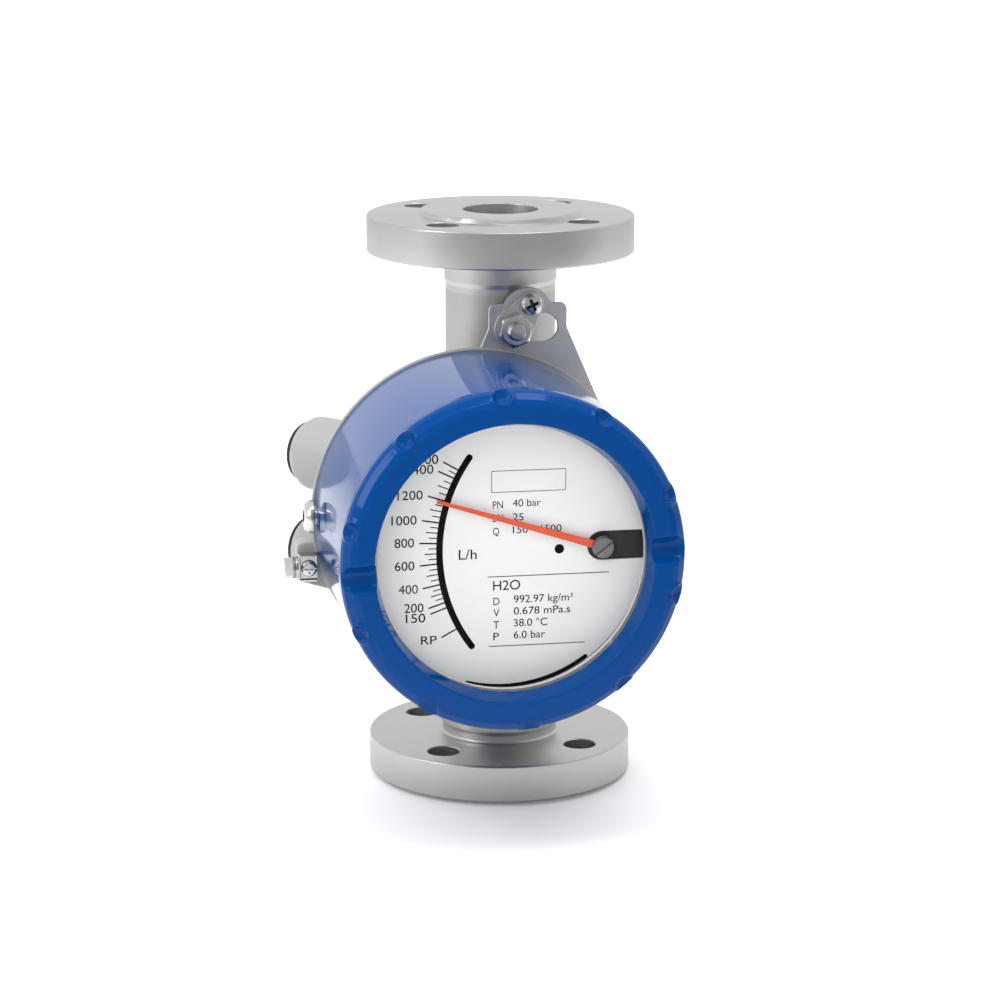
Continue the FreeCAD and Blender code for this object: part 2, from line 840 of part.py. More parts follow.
def make_housing_base():
    """Cast back half: rim, threaded ring, screw pads, cable bosses and earth lug."""
    rim = base_rim_diameter / 2
    ring = thread_diameter / 2
    inner = ring - thread_ring_wall
    shell = turned_on_y([
        (0, bracket_front),
        (rim, bracket_front),
        (rim, rim_front),
        (ring, rim_front),
        (ring, thread_front),
        (inner, thread_front),
        (inner, wall_front),
        (0, wall_front),
    ], head_x, head_z)
    reach = boss_end_reach + boss_diameter
    behind = box_between(V(-face_to_face, bracket_front, 0), V(0, bracket_front + reach, face_to_face))
    solids = [shell]
    for side in (1, -1):
        solids += [piece.common(behind) for piece in boss_solid(side)]
    solids += [casting_web(), casting_lug()]
    for x, z in bracket_screw_places():
        start = V(x, bracket_front, z)
        solids.append(rod_between(bracket_pad_diameter, start, V(x, wall_front - bracket_pad_height, z)))
    casting = joined(solids)
    cutters = []
    out = boss_direction()
    for side in (1, -1):
        mouth = boss_mouth(side)
        tapping = boss_thread_diameter + 2 * thread_clearance
        cutters.append(rod_between(tapping, mouth + out, mouth - out * boss_thread_length))
        run = (boss_end_y - wall_front) / out.y + boss_passage_diameter
        cutters.append(rod_between(boss_passage_diameter, mouth, mouth - out * run))
    hole = bracket_screw_diameter + 2 * thread_clearance
    for x, z in bracket_screw_places():
        cutters.append(rod_between(hole, V(x, 0, z), V(x, bracket_front - bracket_screw_reach - 1, z)))
    hole = earth_screw_diameter + 2 * thread_clearance
    end = V(earth_x, earth_face + earth_screw_reach + 1, earth_z)
    cutters.append(rod_between(hole, V(earth_x, earth_face, earth_z), end))
    cutters.append(earth_pocket())
    return casting.cut(cutters)


def make_blind_plug(side):
    """Plug that closes a cable entry: flanged head, thread and hexagon socket."""
    mouth = boss_mouth(side)
    out = boss_direction()
    seat = mouth + out * plug_seal_thickness
    face = seat + out * plug_head_height
    head = rod_between(plug_head_diameter, seat, face)
    tip = mouth - out * (boss_thread_length - plug_thread_short)
    thread = rod_between(boss_thread_diameter, seat, tip)
    socket = hexagon_between(plug_socket_flats, face + out, face - out * plug_socket_depth)
    return joined([head, thread]).cut(socket)


def make_plug_seals():
    """Flat sealing rings under the two plugs."""
    out = boss_direction()
    rings = []
    for side in (1, -1):
        mouth = boss_mouth(side)
        inner = boss_thread_diameter + 2 * fastener_gap
        rings.append(ring_between(plug_seal_diameter, inner, mouth, mouth + out * plug_seal_thickness))
    return Part.makeCompound(rings)


def make_cover_seal():
    """Seal ring in the corner between the casting's rim and the cover's chamfered mouth."""
    inner = thread_diameter + 2 * seal_gap
    back = V(head_x, rim_front - seal_gap, head_z)
    return ring_between(inner + 2 * seal_section, inner, back, back - V(0, seal_section, 0))


# ---------------------------------------------------------------- earth terminal
def make_earth_clamp():
    """Bent strap round three sides of the terminal block, open to the right."""
    inner_left = earth_x - earth_block_width / 2 - earth_clamp_gap
    outer_left = inner_left - earth_clamp_wall
    right = earth_x + earth_block_width / 2
    inner_half = earth_block_height / 2 + earth_clamp_gap
    outer_half = inner_half + earth_clamp_wall
    strap = flat_plate([
        (right, earth_z - outer_half),
        (outer_left, earth_z - outer_half, earth_clamp_bend + earth_clamp_wall),
        (outer_left, earth_z + outer_half, earth_clamp_bend + earth_clamp_wall),
        (right, earth_z + outer_half),
        (right, earth_z + inner_half),
        (inner_left, earth_z + inner_half, earth_clamp_bend),
        (inner_left, earth_z - inner_half, earth_clamp_bend),
        (right, earth_z - inner_half),
    ], earth_face - earth_clamp_depth, earth_face)
    seat = earth_bolt_seat()
    middle = V(earth_x, seat.y, seat.z)
    return strap.cut(rod_between(earth_bolt_diameter + 2 * fastener_gap, seat, middle))


def make_earth_block():
    """Square terminal block under the slotted screw."""
    half_width = earth_block_width / 2
    half_height = earth_block_height / 2
    block = box_between(V(earth_x - half_width, earth_face - earth_block_depth, earth_z - half_height),
                        V(earth_x + half_width, earth_face, earth_z + half_height))
    front = V(earth_x, earth_face - earth_block_depth, earth_z)
    hole = rod_between(earth_screw_diameter + 2 * fastener_gap, front, V(earth_x, earth_face, earth_z))
    return block.cut(hole)


def make_earth_screw():
    """Screw that holds the terminal to the lug."""
    seat = V(earth_x, earth_face - earth_block_depth, earth_z)
    head = rod_between(earth_screw_head, seat, seat - V(0, earth_screw_head_height, 0))
    shank = rod_between(earth_screw_diameter, seat, V(earth_x, earth_face + earth_screw_reach, earth_z))
    return joined([head, shank])


def earth_bolt_seat():
    """Point on the strap's left side where the bolt's washers start."""
    left = earth_x - earth_block_width / 2 - earth_clamp_gap - earth_clamp_wall
    return V(left, earth_face - earth_clamp_depth / 2, earth_z)


def make_earth_washer():
    """Flat washer against the strap."""
    seat = earth_bolt_seat()
    end = seat - V(earth_washer_thickness, 0, 0)
    return ring_between(earth_washer_diameter, earth_bolt_diameter + 2 * earth_washer_gap, end, seat)


def make_earth_spring_washer():
    """Split spring washer under the bolt's head."""
    seat = earth_bolt_seat() - V(earth_washer_thickness, 0, 0)
    end = seat - V(earth_spring_washer_thickness, 0, 0)
    inner = earth_bolt_diameter + 2 * earth_washer_gap
    ring = ring_between(earth_spring_washer_diameter, inner, end, seat)
    half = earth_spring_washer_split / 2
    high = V(seat.x, seat.y + half, seat.z + earth_spring_washer_diameter)
    return ring.cut(box_between(V(end.x, end.y - half, end.z), high))


def make_earth_bolt():
    """Hexagon bolt for the outer earth wire, clamped against the strap's side."""
    seat = earth_bolt_seat() - V(earth_washer_thickness + earth_spring_washer_thickness, 0, 0)
    end = seat - V(earth_bolt_head_height, 0, 0)
    head = hexagon_between(earth_bolt_flats, seat, end, 30)
    tip = V(earth_x - earth_block_width / 2 - earth_bolt_end_gap, seat.y, seat.z)
    shank = rod_between(earth_bolt_diameter, seat, tip)
    return joined([head, shank])


# ---------------------------------------------------------------- cover and window
def cover_profile():
    """Section of the cover as (radius, y): skirt, proud front ring, bezel and window seat."""
    rear = cover_rear_diameter / 2
    waist = cover_waist_diameter / 2
    ring = cover_ring_diameter / 2
    bore = cover_bore / 2
    shoulder_back = cover_front + cover_shoulder
    ring_back = shoulder_back + cover_ring_length
    seat = glass_diameter / 2 + glass_gap
    soft = cover_shoulder_round
    return [
        (bore, cover_rear - cover_mouth_chamfer),
        (bore + cover_mouth_chamfer, cover_rear),
        (rear, cover_rear),
        (waist, ring_back + cover_ring_step),
        (ring, ring_back),
        (ring, shoulder_back),
        (ring - soft * 0.6, shoulder_back - soft * 1.6),
        (ring - cover_shoulder + soft * 1.6, cover_front + soft * 0.6),
        (ring - cover_shoulder, cover_front),
        (window_rim_opening / 2, cover_front),
        (window_opening / 2, window_ledge),
        (seat, window_ledge),
        (seat, retainer_back),
        (bore, retainer_back + cover_seat_slope),
    ]


def dimple_frame(angle):
    """Point on the shoulder's slope and its outward direction at an angle round the head."""
    middle = cover_ring_diameter / 2 - cover_shoulder / 2
    point = head_point(middle, angle, cover_front + cover_shoulder / 2)
    outward = head_point(1, angle, 0) - V(head_x, 0, head_z)
    return point, (outward - V(0, 1, 0)).normalize()


def make_cover():
    """Deep screw-on cover with its window frame, ten dimples and two spanner grooves."""
    body = turned_on_y(cover_profile(), head_x, head_z)
    cutters = []
    for i in range(dimple_count):
        angle = face_turn + 360.0 / dimple_count * (i + 0.5)
        point, normal = dimple_frame(angle)
        cutters.append(rod_between(dimple_diameter, point - normal * dimple_depth, point + normal * 5))
    inner = head_point(window_opening / 2 - 5, face_turn, cover_front)
    outer = head_point(cover_ring_diameter / 2 + 5, face_turn, cover_front)
    groove = rod_between(2 * groove_radius, inner, outer)
    cutters += turned_copies(groove, 2, V(head_x, 0, head_z), V(0, 1, 0))
    hole_start = head_point(cover_bore / 2 - 2, lock_angle, lock_y)
    hole_end = head_point(cover_rear_diameter / 2 + 2, lock_angle, lock_y)
    cutters.append(rod_between(lock_screw_diameter + 2 * thread_clearance, hole_start, hole_end))
    return body.cut(cutters)


def make_window_seal():
    """Flat gasket between the cover's lip and the glass."""
    outer = glass_diameter
    inner = glass_diameter - 2 * window_seal_width
    start = V(head_x, window_ledge, head_z)
    return ring_between(outer, inner, start, V(head_x, glass_front, head_z))


def make_window_glass():
    """Flat round safety glass."""
    return rod_between(glass_diameter, V(head_x, glass_front, head_z), V(head_x, glass_back, head_z))


def make_window_retainer():
    """Ring that presses the glass into the cover."""
    front = V(head_x, glass_back, head_z)
    return ring_between(glass_diameter, retainer_opening, front, V(head_x, retainer_back, head_z))


def make_cover_lock_screw():
    """Button-head screw through the cover's skirt that locks its thread."""
    out = head_point(1, lock_angle, 0) - V(head_x, 0, head_z)
    tip = head_point(cover_bore / 2 + lock_tip_gap, lock_angle, lock_y)
    seat = head_point(cover_rear_diameter / 2 + lock_seat_gap, lock_angle, lock_y)
    shank = rod_between(lock_screw_diameter, tip, seat)
    radius = lock_head_diameter / 2
    edge = seat + out * lock_head_edge
    dome = Part.makeCone(radius, radius * 0.6, lock_head_height - lock_head_edge, edge, out)
    head = joined([rod_between(lock_head_diameter, seat, edge), dome])
    face = seat + out * lock_head_height
    socket = hexagon_between(lock_socket_flats, face + out, face - out * lock_socket_depth)
    return joined([head, shank]).cut(socket)


# ---------------------------------------------------------------- dial and mechanism
def pillar_place(angle, y):
    """Foot of a pillar on the casting's wall."""
    return head_point(pillar_circle / 2, angle, y)


def dial_slot(front, back):
    """Cutter for the slot that lets the dial slide in past the pointer's shaft."""
    radius = dial_slot_width / 2
    end = rod_between(dial_slot_width, V(pivot_x, front, pivot_z), V(pivot_x, back, pivot_z))
    far = head_x + dial_diameter
    run = box_between(V(pivot_x, front, pivot_z - radius), V(far, back, pivot_z + radius))
    return [end, run]


def make_dial_plate():
    """Thin round dial with an open slot from the pointer's shaft to its right edge."""
    plate = rod_between(dial_diameter, V(head_x, dial_back, head_z), V(head_x, dial_front, head_z))
    return plate.cut(dial_slot(dial_front - 1, dial_back + 1))


def make_dial_holder():
    """Dark moulded disc behind the dial, carried on the pillars."""
    disc = rod_between(holder_diameter, V(head_x, dial_back, head_z), V(head_x, holder_back, head_z))
    holes = [(V(pivot_x, 0, pivot_z), bearing_diameter + 2 * shaft_gap)]
    for angle in pillar_angles:
        holes.append((pillar_place(angle, 0), pillar_screw_diameter + 2 * thread_clearance))
    for place in strap_screw_places():
        holes.append((place, mechanism_screw_diameter + 2 * thread_clearance))
    cutters = []
    for place, diameter in holes:
        start = V(place.x, dial_back - 1, place.z)
        cutters.append(rod_between(diameter, start, V(place.x, holder_back + 1, place.z)))
    return disc.cut(cutters)


def make_holder_pillars():
    """Round pillars from the casting's wall, each with a threaded end for the holder."""
    pillars = []
    for angle in pillar_angles:
        foot = pillar_place(angle, wall_front)
        shoulder = pillar_place(angle, holder_back)
        pillar = rod_between(pillar_diameter, foot, shoulder)
        thread = rod_between(pillar_screw_diameter, shoulder, pillar_place(angle, dial_back))
        pillars.append(joined([pillar, thread]))
    return Part.makeCompound(pillars)


def make_bearing_bracket():
    """Bent strap behind the holder: it carries the rear bearing on two legs."""
    half = mechanism_plate_width / 2
    thick = mechanism_plate_thickness
    reach = mechanism_leg_reach
    rear = mechanism_rear
    left = pivot_x - half
    right = pivot_x + half
    back = box_between(V(left, rear - thick, pivot_z - reach), V(right, rear, pivot_z + reach))
    legs = []
    feet = []
    for side in (1, -1):
        outer = pivot_z + side * reach
        inner = outer - side * thick
        low, high = sorted((outer, inner))
        legs.append(box_between(V(left, holder_back, low), V(right, rear, high)))
        low, high = sorted((inner, inner - side * mechanism_foot))
        feet.append(box_between(V(left, holder_back, low), V(right, holder_back + thick, high)))
    strap = joined([back] + legs + feet)
    bush = bearing_diameter + 2 * shaft_gap
    cutters = [rod_between(bush, V(pivot_x, rear - thick, pivot_z), V(pivot_x, rear, pivot_z))]
    hole = mechanism_screw_diameter + 2 * fastener_gap
    for place in strap_screw_places():
        cutters.append(rod_between(hole, place, place + V(0, thick, 0)))
    return strap.cut(cutters)


def strap_screw_places():
    """Points on the holder's back where the strap's feet are screwed."""
    reach = mechanism_leg_reach - mechanism_plate_thickness - mechanism_foot / 2
    return [V(pivot_x, holder_back, pivot_z + side * reach) for side in (1, -1)]


def make_strap_screws():
    """Screws through the strap's feet into the holder."""
    screws = []
    for place in strap_screw_places():
        seat = place + V(0, mechanism_plate_thickness, 0)
        head = rod_between(mechanism_screw_head, seat, seat + V(0, mechanism_screw_head_height, 0))
        shank = rod_between(mechanism_screw_diameter, seat, place - V(0, mechanism_screw_reach, 0))
        screws.append(joined([head, shank]))
    return Part.makeCompound(screws)


def make_bearing(flange_y, towards):
    """Flanged jewel bush for the pointer's shaft; towards is the way its body runs."""
    flange_end = flange_y - towards * bearing_flange_thickness
    body_end = flange_y + towards * bearing_length
    outside = V(pivot_x, flange_end, pivot_z)
    shoulder = V(pivot_x, flange_y, pivot_z)
    inside = V(pivot_x, body_end, pivot_z)
    flange = rod_between(bearing_flange_diameter, outside, shoulder)
    body = rod_between(bearing_diameter, shoulder, inside)
    return joined([flange, body]).cut(rod_between(shaft_diameter + 2 * shaft_gap, outside, inside))


def follower_y():
    """Depth of the follower arm, just in front of the casting's wall."""
    return wall_front - follower_gap - follower_magnet_diameter / 2


def make_pointer_shaft():
    """Thin steel shaft from the pointer to the follower magnet."""
    rear = follower_y() + shaft_rear_reach
    return rod_between(shaft_diameter, V(pivot_x, pointer_front, pivot_z), V(pivot_x, rear, pivot_z))


def make_pointer():
    """Tapered blade with a round eye at the shaft, drawn along -X and then turned up."""
    half_root = pointer_root_width / 2
    half_tip = pointer_tip_width / 2
    blade = flat_plate([
        (pivot_x, pivot_z - half_root),
        (pivot_x, pivot_z + half_root),
        (pivot_x - pointer_length, pivot_z + half_tip),
        (pivot_x - pointer_length, pivot_z - half_tip),
    ], pointer_front, pointer_back)
    front = V(pivot_x, pointer_front, pivot_z)
    back = V(pivot_x, pointer_back, pivot_z)
    eye = rod_between(pointer_eye_diameter, front, back)
    pointer = joined([blade, eye]).cut(rod_between(shaft_diameter + 2 * thread_clearance, front, back))
    pointer.rotate(V(pivot_x, 0, pivot_z), V(0, 1, 0), pointer_angle)
    return pointer


def make_pointer_hub():
    """Round clamping cap that grips the blade on the shaft."""
    start = V(pivot_x, pointer_front, pivot_z)
    return rod_between(hub_diameter, start, start - V(0, hub_height, 0))


def make_pointer_collar():
    """Shouldered collar on the shaft behind the blade."""
    start = V(pivot_x, pointer_back, pivot_z)
    end = V(pivot_x, dial_front - collar_dial_gap, pivot_z)
    return ring_between(collar_diameter, shaft_diameter + 2 * thread_clearance, start, end)


def make_follower_arm():
    """Balance arm on the shaft: magnet clip at one end, counterweight pin at the other."""
    y = follower_y()
    half = follower_arm_width / 2
    front = y - follower_magnet_diameter / 2 - follower_arm_thickness
    back = y - follower_magnet_diameter / 2
    plate = flat_plate([
        (pivot_x - follower_arm_reach - half, pivot_z - half),
        (pivot_x - follower_arm_reach - half, pivot_z + half),
        (pivot_x + counterweight_reach + half, pivot_z + half),
        (pivot_x + counterweight_reach + half, pivot_z - half),
    ], front, back)
    hub_rear = V(pivot_x, back + follower_hub_back, pivot_z)
    hub_front = V(pivot_x, front - follower_hub_front, pivot_z)
    hub = rod_between(follower_hub_diameter, hub_rear, hub_front)
    hole = rod_between(shaft_diameter + 2 * thread_clearance, hub_rear, hub_front)
    return joined([plate, hub]).cut(hole)


def make_follower_magnet():
    """Bar magnet on the arm that follows the float's magnet through the wall."""
    x = pivot_x - follower_arm_reach
    half = follower_magnet_length / 2
    y = follower_y()
    return rod_between(follower_magnet_diameter, V(x, y, pivot_z - half), V(x, y, pivot_z + half))


def make_counterweight():
    """Round weight that balances the magnet and the blade."""
    x = pivot_x + counterweight_reach
    front = follower_y() - follower_magnet_diameter / 2
    back = front + counterweight_length
    return rod_between(counterweight_diameter, V(x, front, pivot_z), V(x, back, pivot_z))


def make_brake_disc():
    """Aluminium disc on the shaft, damped by the fixed magnet."""
    middle = V(pivot_x, brake_disc_y, pivot_z)
    half_disc = V(0, brake_disc_thickness / 2, 0)
    half_hub = V(0, brake_hub_length / 2, 0)
    disc = rod_between(brake_disc_diameter, middle - half_disc, middle + half_disc)
    hub = rod_between(brake_hub_diameter, middle - half_hub, middle + half_hub)
    hole = rod_between(shaft_diameter + 2 * thread_clearance, middle - half_hub, middle + half_hub)
    return joined([disc, hub]).cut(hole)


def make_brake_magnet():
    """C-shaped magnet on the strap's upper leg, with the disc running in its gap."""
    left = pivot_x - brake_magnet_width / 2
    right = pivot_x + brake_magnet_width / 2
    top = pivot_z + mechanism_leg_reach - mechanism_plate_thickness
    bottom = pivot_z + brake_disc_diameter / 2 - brake_overlap
    half = brake_magnet_half_depth
    block = box_between(V(left, brake_disc_y - half, bottom), V(right, brake_disc_y + half, top))
    half_gap = brake_disc_thickness / 2 + brake_gap
    slit_top = bottom + brake_overlap + brake_tip_gap
    slit_low = V(left, brake_disc_y - half_gap, bottom)
    slit = box_between(slit_low, V(right, brake_disc_y + half_gap, slit_top))
    return block.cut(slit)


# ---------------------------------------------------------------- files
def build_all():
    """Every piece by name."""
    star = make_lower_guide_star()
    return {
        "inlet_flange": make_inlet_flange(),
        "outlet_flange": make_outlet_flange(),
        "metering_tube": make_metering_tube(),
        "lower_guide_star": star,
        "upper_guide_star": mirrored_end(star),
        "snap_rings": make_snap_rings(),
        "guide_rod": make_guide_rod(),
        "rod_nuts": make_rod_nuts(),
        "lower_stop_sleeve": make_stop_sleeve(hub_top, sleeve_low_top),
        "upper_stop_sleeve": make_stop_sleeve(sleeve_high_bottom, face_to_face - hub_top),
        "float_body": make_float_body(),
        "float_magnet": make_float_magnet(),
        "float_cap": make_float_cap(),
        "tube_studs": make_tube_studs(),
        "mounting_bracket": make_mounting_bracket(),
        "tab_washers": make_tab_washers(),
        "stud_nuts": make_stud_nuts(),
        "tab_screws": make_tab_screws(),
        "bracket_screws": make_bracket_screws(),
        "housing_base": make_housing_base(),
        "upper_blind_plug": make_blind_plug(1),
        "lower_blind_plug": make_blind_plug(-1),
        "plug_seals": make_plug_seals(),
        "cover_seal": make_cover_seal(),
        "earth_clamp": make_earth_clamp(),
        "earth_block": make_earth_block(),
        "earth_screw": make_earth_screw(),
        "earth_washer": make_earth_washer(),
        "earth_spring_washer": make_earth_spring_washer(),
        "earth_bolt": make_earth_bolt(),
        "cover": make_cover(),
        "window_seal": make_window_seal(),
        "window_glass": make_window_glass(),
        "window_retainer": make_window_retainer(),
        "cover_lock_screw": make_cover_lock_screw(),
        "dial_plate": make_dial_plate(),
        "dial_holder": make_dial_holder(),
        "holder_pillars": make_holder_pillars(),
        "bearing_bracket": make_bearing_bracket(),
        "strap_screws": make_strap_screws(),
        "front_bearing": make_bearing(holder_back, -1),
        "rear_bearing": make_bearing(mechanism_rear, -1),
        "pointer_shaft": make_pointer_shaft(),
        "pointer": make_pointer(),
        "pointer_hub": make_pointer_hub(),
        "pointer_collar": make_pointer_collar(),
        "follower_arm": make_follower_arm(),
        "follower_magnet": make_follower_magnet(),
        "counterweight": make_counterweight(),
        "brake_disc": make_brake_disc(),
        "brake_magnet": make_brake_magnet(),
    }


os.makedirs("parts", exist_ok=True)
for name, shape in build_all().items():
    shape.exportStep(f"parts/{name}.step")
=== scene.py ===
"""Looks of a metal-tube rotameter with a round dial head, piece by piece as it is put together."""

import math

import bmesh
import bpy
from mathutils import Matrix, Vector


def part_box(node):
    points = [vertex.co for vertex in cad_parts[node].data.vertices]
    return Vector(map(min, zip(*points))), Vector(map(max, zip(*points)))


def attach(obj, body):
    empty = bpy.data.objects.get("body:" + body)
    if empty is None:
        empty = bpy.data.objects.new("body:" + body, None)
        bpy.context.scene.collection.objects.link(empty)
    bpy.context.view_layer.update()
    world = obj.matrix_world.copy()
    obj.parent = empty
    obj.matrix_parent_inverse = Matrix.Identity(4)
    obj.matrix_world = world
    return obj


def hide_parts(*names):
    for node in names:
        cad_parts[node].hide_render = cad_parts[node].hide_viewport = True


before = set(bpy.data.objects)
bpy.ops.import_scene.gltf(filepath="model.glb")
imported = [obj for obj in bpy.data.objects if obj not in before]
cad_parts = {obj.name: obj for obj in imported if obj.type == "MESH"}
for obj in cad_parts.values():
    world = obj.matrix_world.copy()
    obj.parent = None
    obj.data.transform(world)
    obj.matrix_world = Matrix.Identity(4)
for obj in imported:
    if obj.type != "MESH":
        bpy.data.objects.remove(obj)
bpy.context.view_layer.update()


# ---------------------------- studio
# A pale floor under a white sky. Two broad soft lights, in front and overhead, only fill; two
# narrow strips, at the left and on top, also show in polished surfaces. The camera stands a
# little left of the dial and looks slightly down.
mm = 0.001
light_aim = Vector((0.0, 0.0, 0.12))


def add(tree, kind, sockets=None, **properties):
    """Adds a node with its properties. Each socket takes a plain value or another node's output."""
    made = tree.nodes.new(kind)
    for name, value in properties.items():
        setattr(made, name, value)
    for name, value in (sockets or {}).items():
        if isinstance(value, bpy.types.NodeSocket):
            tree.links.new(value, made.inputs[name])
        else:
            made.inputs[name].default_value = value
    return made


def empty_tree(owner):
    """Turns nodes on for a material or world and clears them."""
    owner.use_nodes = True
    owner.node_tree.nodes.clear()
    return owner.node_tree


def between(tree, value, low, high, start, end, curve="LINEAR"):
    """Output that runs from start to end as the value runs from low to high."""
    sockets = {"Value": value, "From Min": low, "From Max": high, "To Min": start, "To Max": end}
    return add(tree, "ShaderNodeMapRange", sockets, interpolation_type=curve).outputs["Result"]


def product(tree, one, other):
    """Output of two values multiplied."""
    return add(tree, "ShaderNodeMath", {0: one, 1: other}, operation="MULTIPLY").outputs[0]


def build_sky():
    """White for the camera. As light it is white behind the object and dimmer in front of it."""
    world = bpy.data.worlds.new("studio_sky")
    bpy.context.scene.world = world
    tree = empty_tree(world)
    towards = add(tree, "ShaderNodeTexCoord")
    split = add(tree, "ShaderNodeSeparateXYZ", {0: towards.outputs["Generated"]})
    strength = between(tree, split.outputs["Y"], -0.75, 0.35, 0.50, 1.0, "SMOOTHSTEP")
    light = add(tree, "ShaderNodeBackground", {"Color": (1.0, 1.0, 1.0, 1.0), "Strength": strength})
    white = add(tree, "ShaderNodeBackground", {"Color": (1.0, 1.0, 1.0, 1.0), "Strength": 1.0})
    seen = add(tree, "ShaderNodeLightPath").outputs["Is Camera Ray"]
    mix = add(tree, "ShaderNodeMixShader", {0: seen, 1: light.outputs[0], 2: white.outputs[0]})
    add(tree, "ShaderNodeOutputWorld", {"Surface": mix.outputs[0]})


def soft_light(name, place, width, height, power, mirrored):
    """Rectangular soft light; a mirrored one also shows in polished surfaces."""
    lamp = bpy.data.lights.new(name, "AREA")
    lamp.shape = "RECTANGLE"
    lamp.size = width
    lamp.size_y = height
    lamp.energy = power
    holder = bpy.data.objects.new(name, lamp)
    holder.location = place
    holder.rotation_euler = (light_aim - Vector(place)).to_track_quat("-Z", "Y").to_euler()
    bpy.context.collection.objects.link(holder)
    holder.visible_camera = False
    holder.visible_glossy = mirrored


def build_camera():
    """Long lens at the height of a standing viewer's chest, turned a little to the right."""
    data = bpy.data.cameras.new("camera")
    data.lens = 115.54
    data.sensor_width = 36.0
    camera = bpy.data.objects.new("camera", data)
    camera.location = (-0.24913, -1.34456, 0.44055)
    camera.rotation_euler = (math.radians(90.0 - 13.123), math.radians(-0.125), math.radians(-10.472))
    bpy.context.collection.objects.link(camera)
    bpy.context.scene.camera = camera


def build_floor():
    """Large pale floor: white from afar, with the soft shadow kept, and dimmer in reflections."""
    mesh = bpy.data.meshes.new("floor")
    reach = 6.0
    mesh.from_pydata([(-reach, -reach, 0.0), (reach, -reach, 0.0), (reach, reach, 0.0), (-reach, reach, 0.0)],
                     [], [(0, 1, 2, 3)])
    floor = bpy.data.objects.new("floor", mesh)
    bpy.context.collection.objects.link(floor)
    material = bpy.data.materials.new("floor_white")
    tree = empty_tree(material)
    path = add(tree, "ShaderNodeLightPath")
    where = add(tree, "ShaderNodeTexCoord").outputs["Object"]
    away = add(tree, "ShaderNodeVectorMath", {0: where}, operation="LENGTH").outputs["Value"]
    far = between(tree, away, 0.15, 0.60, 0.08, 0.55, "SMOOTHSTEP")
    lift = product(tree, path.outputs["Is Camera Ray"], far)
    matt = {"Base Color": (0.84, 0.84, 0.84, 1.0), "Roughness": 0.6, "Specular IOR Level": 0.0}
    paint = add(tree, "ShaderNodeBsdfPrincipled", matt)
    glow = add(tree, "ShaderNodeEmission", {"Color": (1.0, 1.0, 1.0, 1.0), "Strength": lift})
    both = add(tree, "ShaderNodeAddShader", {0: paint.outputs[0], 1: glow.outputs[0]})
    split = add(tree, "ShaderNodeSeparateXYZ", {0: where})
    near = between(tree, split.outputs["Y"], -0.30, -0.60, 0.0, 0.85)
    hidden = product(tree, near, path.outputs["Is Glossy Ray"])
    dark = add(tree, "ShaderNodeBsdfDiffuse", {"Color": (0.22, 0.22, 0.22, 1.0)})
    mix = add(tree, "ShaderNodeMixShader", {0: hidden, 1: both.outputs[0], 2: dark.outputs[0]})
    add(tree, "ShaderNodeOutputMaterial", {"Surface": mix.outputs[0]})
    mesh.materials.append(material)


build_sky()
soft_light("front_fill", (-0.7, -1.9, 1.1), 1.4, 1.0, 12.0, False)
soft_light("top_fill", (-0.30, -0.20, 1.7), 2.4, 2.0, 30.0, False)
soft_light("left_strip", (-1.5, -0.45, 1.15), 0.30, 1.4, 9.0, True)
soft_light("top_strip", (0.25, -0.45, 1.7), 1.3, 0.25, 6.0, True)
build_camera()
build_floor()
bpy.context.scene.view_settings.view_transform = "Standard"


# ---------------------------- flanges and metering tube
# Two turned stainless flanges with welded necks on a short thick tube, all one welding.
# Machined and lightly bead blasted: warm grey, satin, with fine lathe lines round the axis.
meter_height = 250.0
flange_radius = 57.5
disc_front = 2.0
disc_back = 18.0
face_radius = 34.0
bore_radius = 16.2
bolt_circle_radius = 42.5
bolt_hole_radius = 7.0
bolt_hole_flare = 2.4
bolt_holes = 4
star_ledge = 24.0
tube_start = 34.0
tube_end = 216.0
tube_radius = 23.7
tube_bore_radius = 20.5
sharp_from = 32.0


def group_tree(name, kind, inputs, outputs):
    """Node group with its named sockets and the outputs of its start node."""
    tree = bpy.data.node_groups.new(name, kind)
    for label, socket in inputs.items():
        tree.interface.new_socket(label, in_out="INPUT", socket_type="NodeSocket" + socket)
    for label, socket in outputs.items():
        tree.interface.new_socket(label, in_out="OUTPUT", socket_type="NodeSocket" + socket)
    return tree, add(tree, "NodeGroupInput").outputs


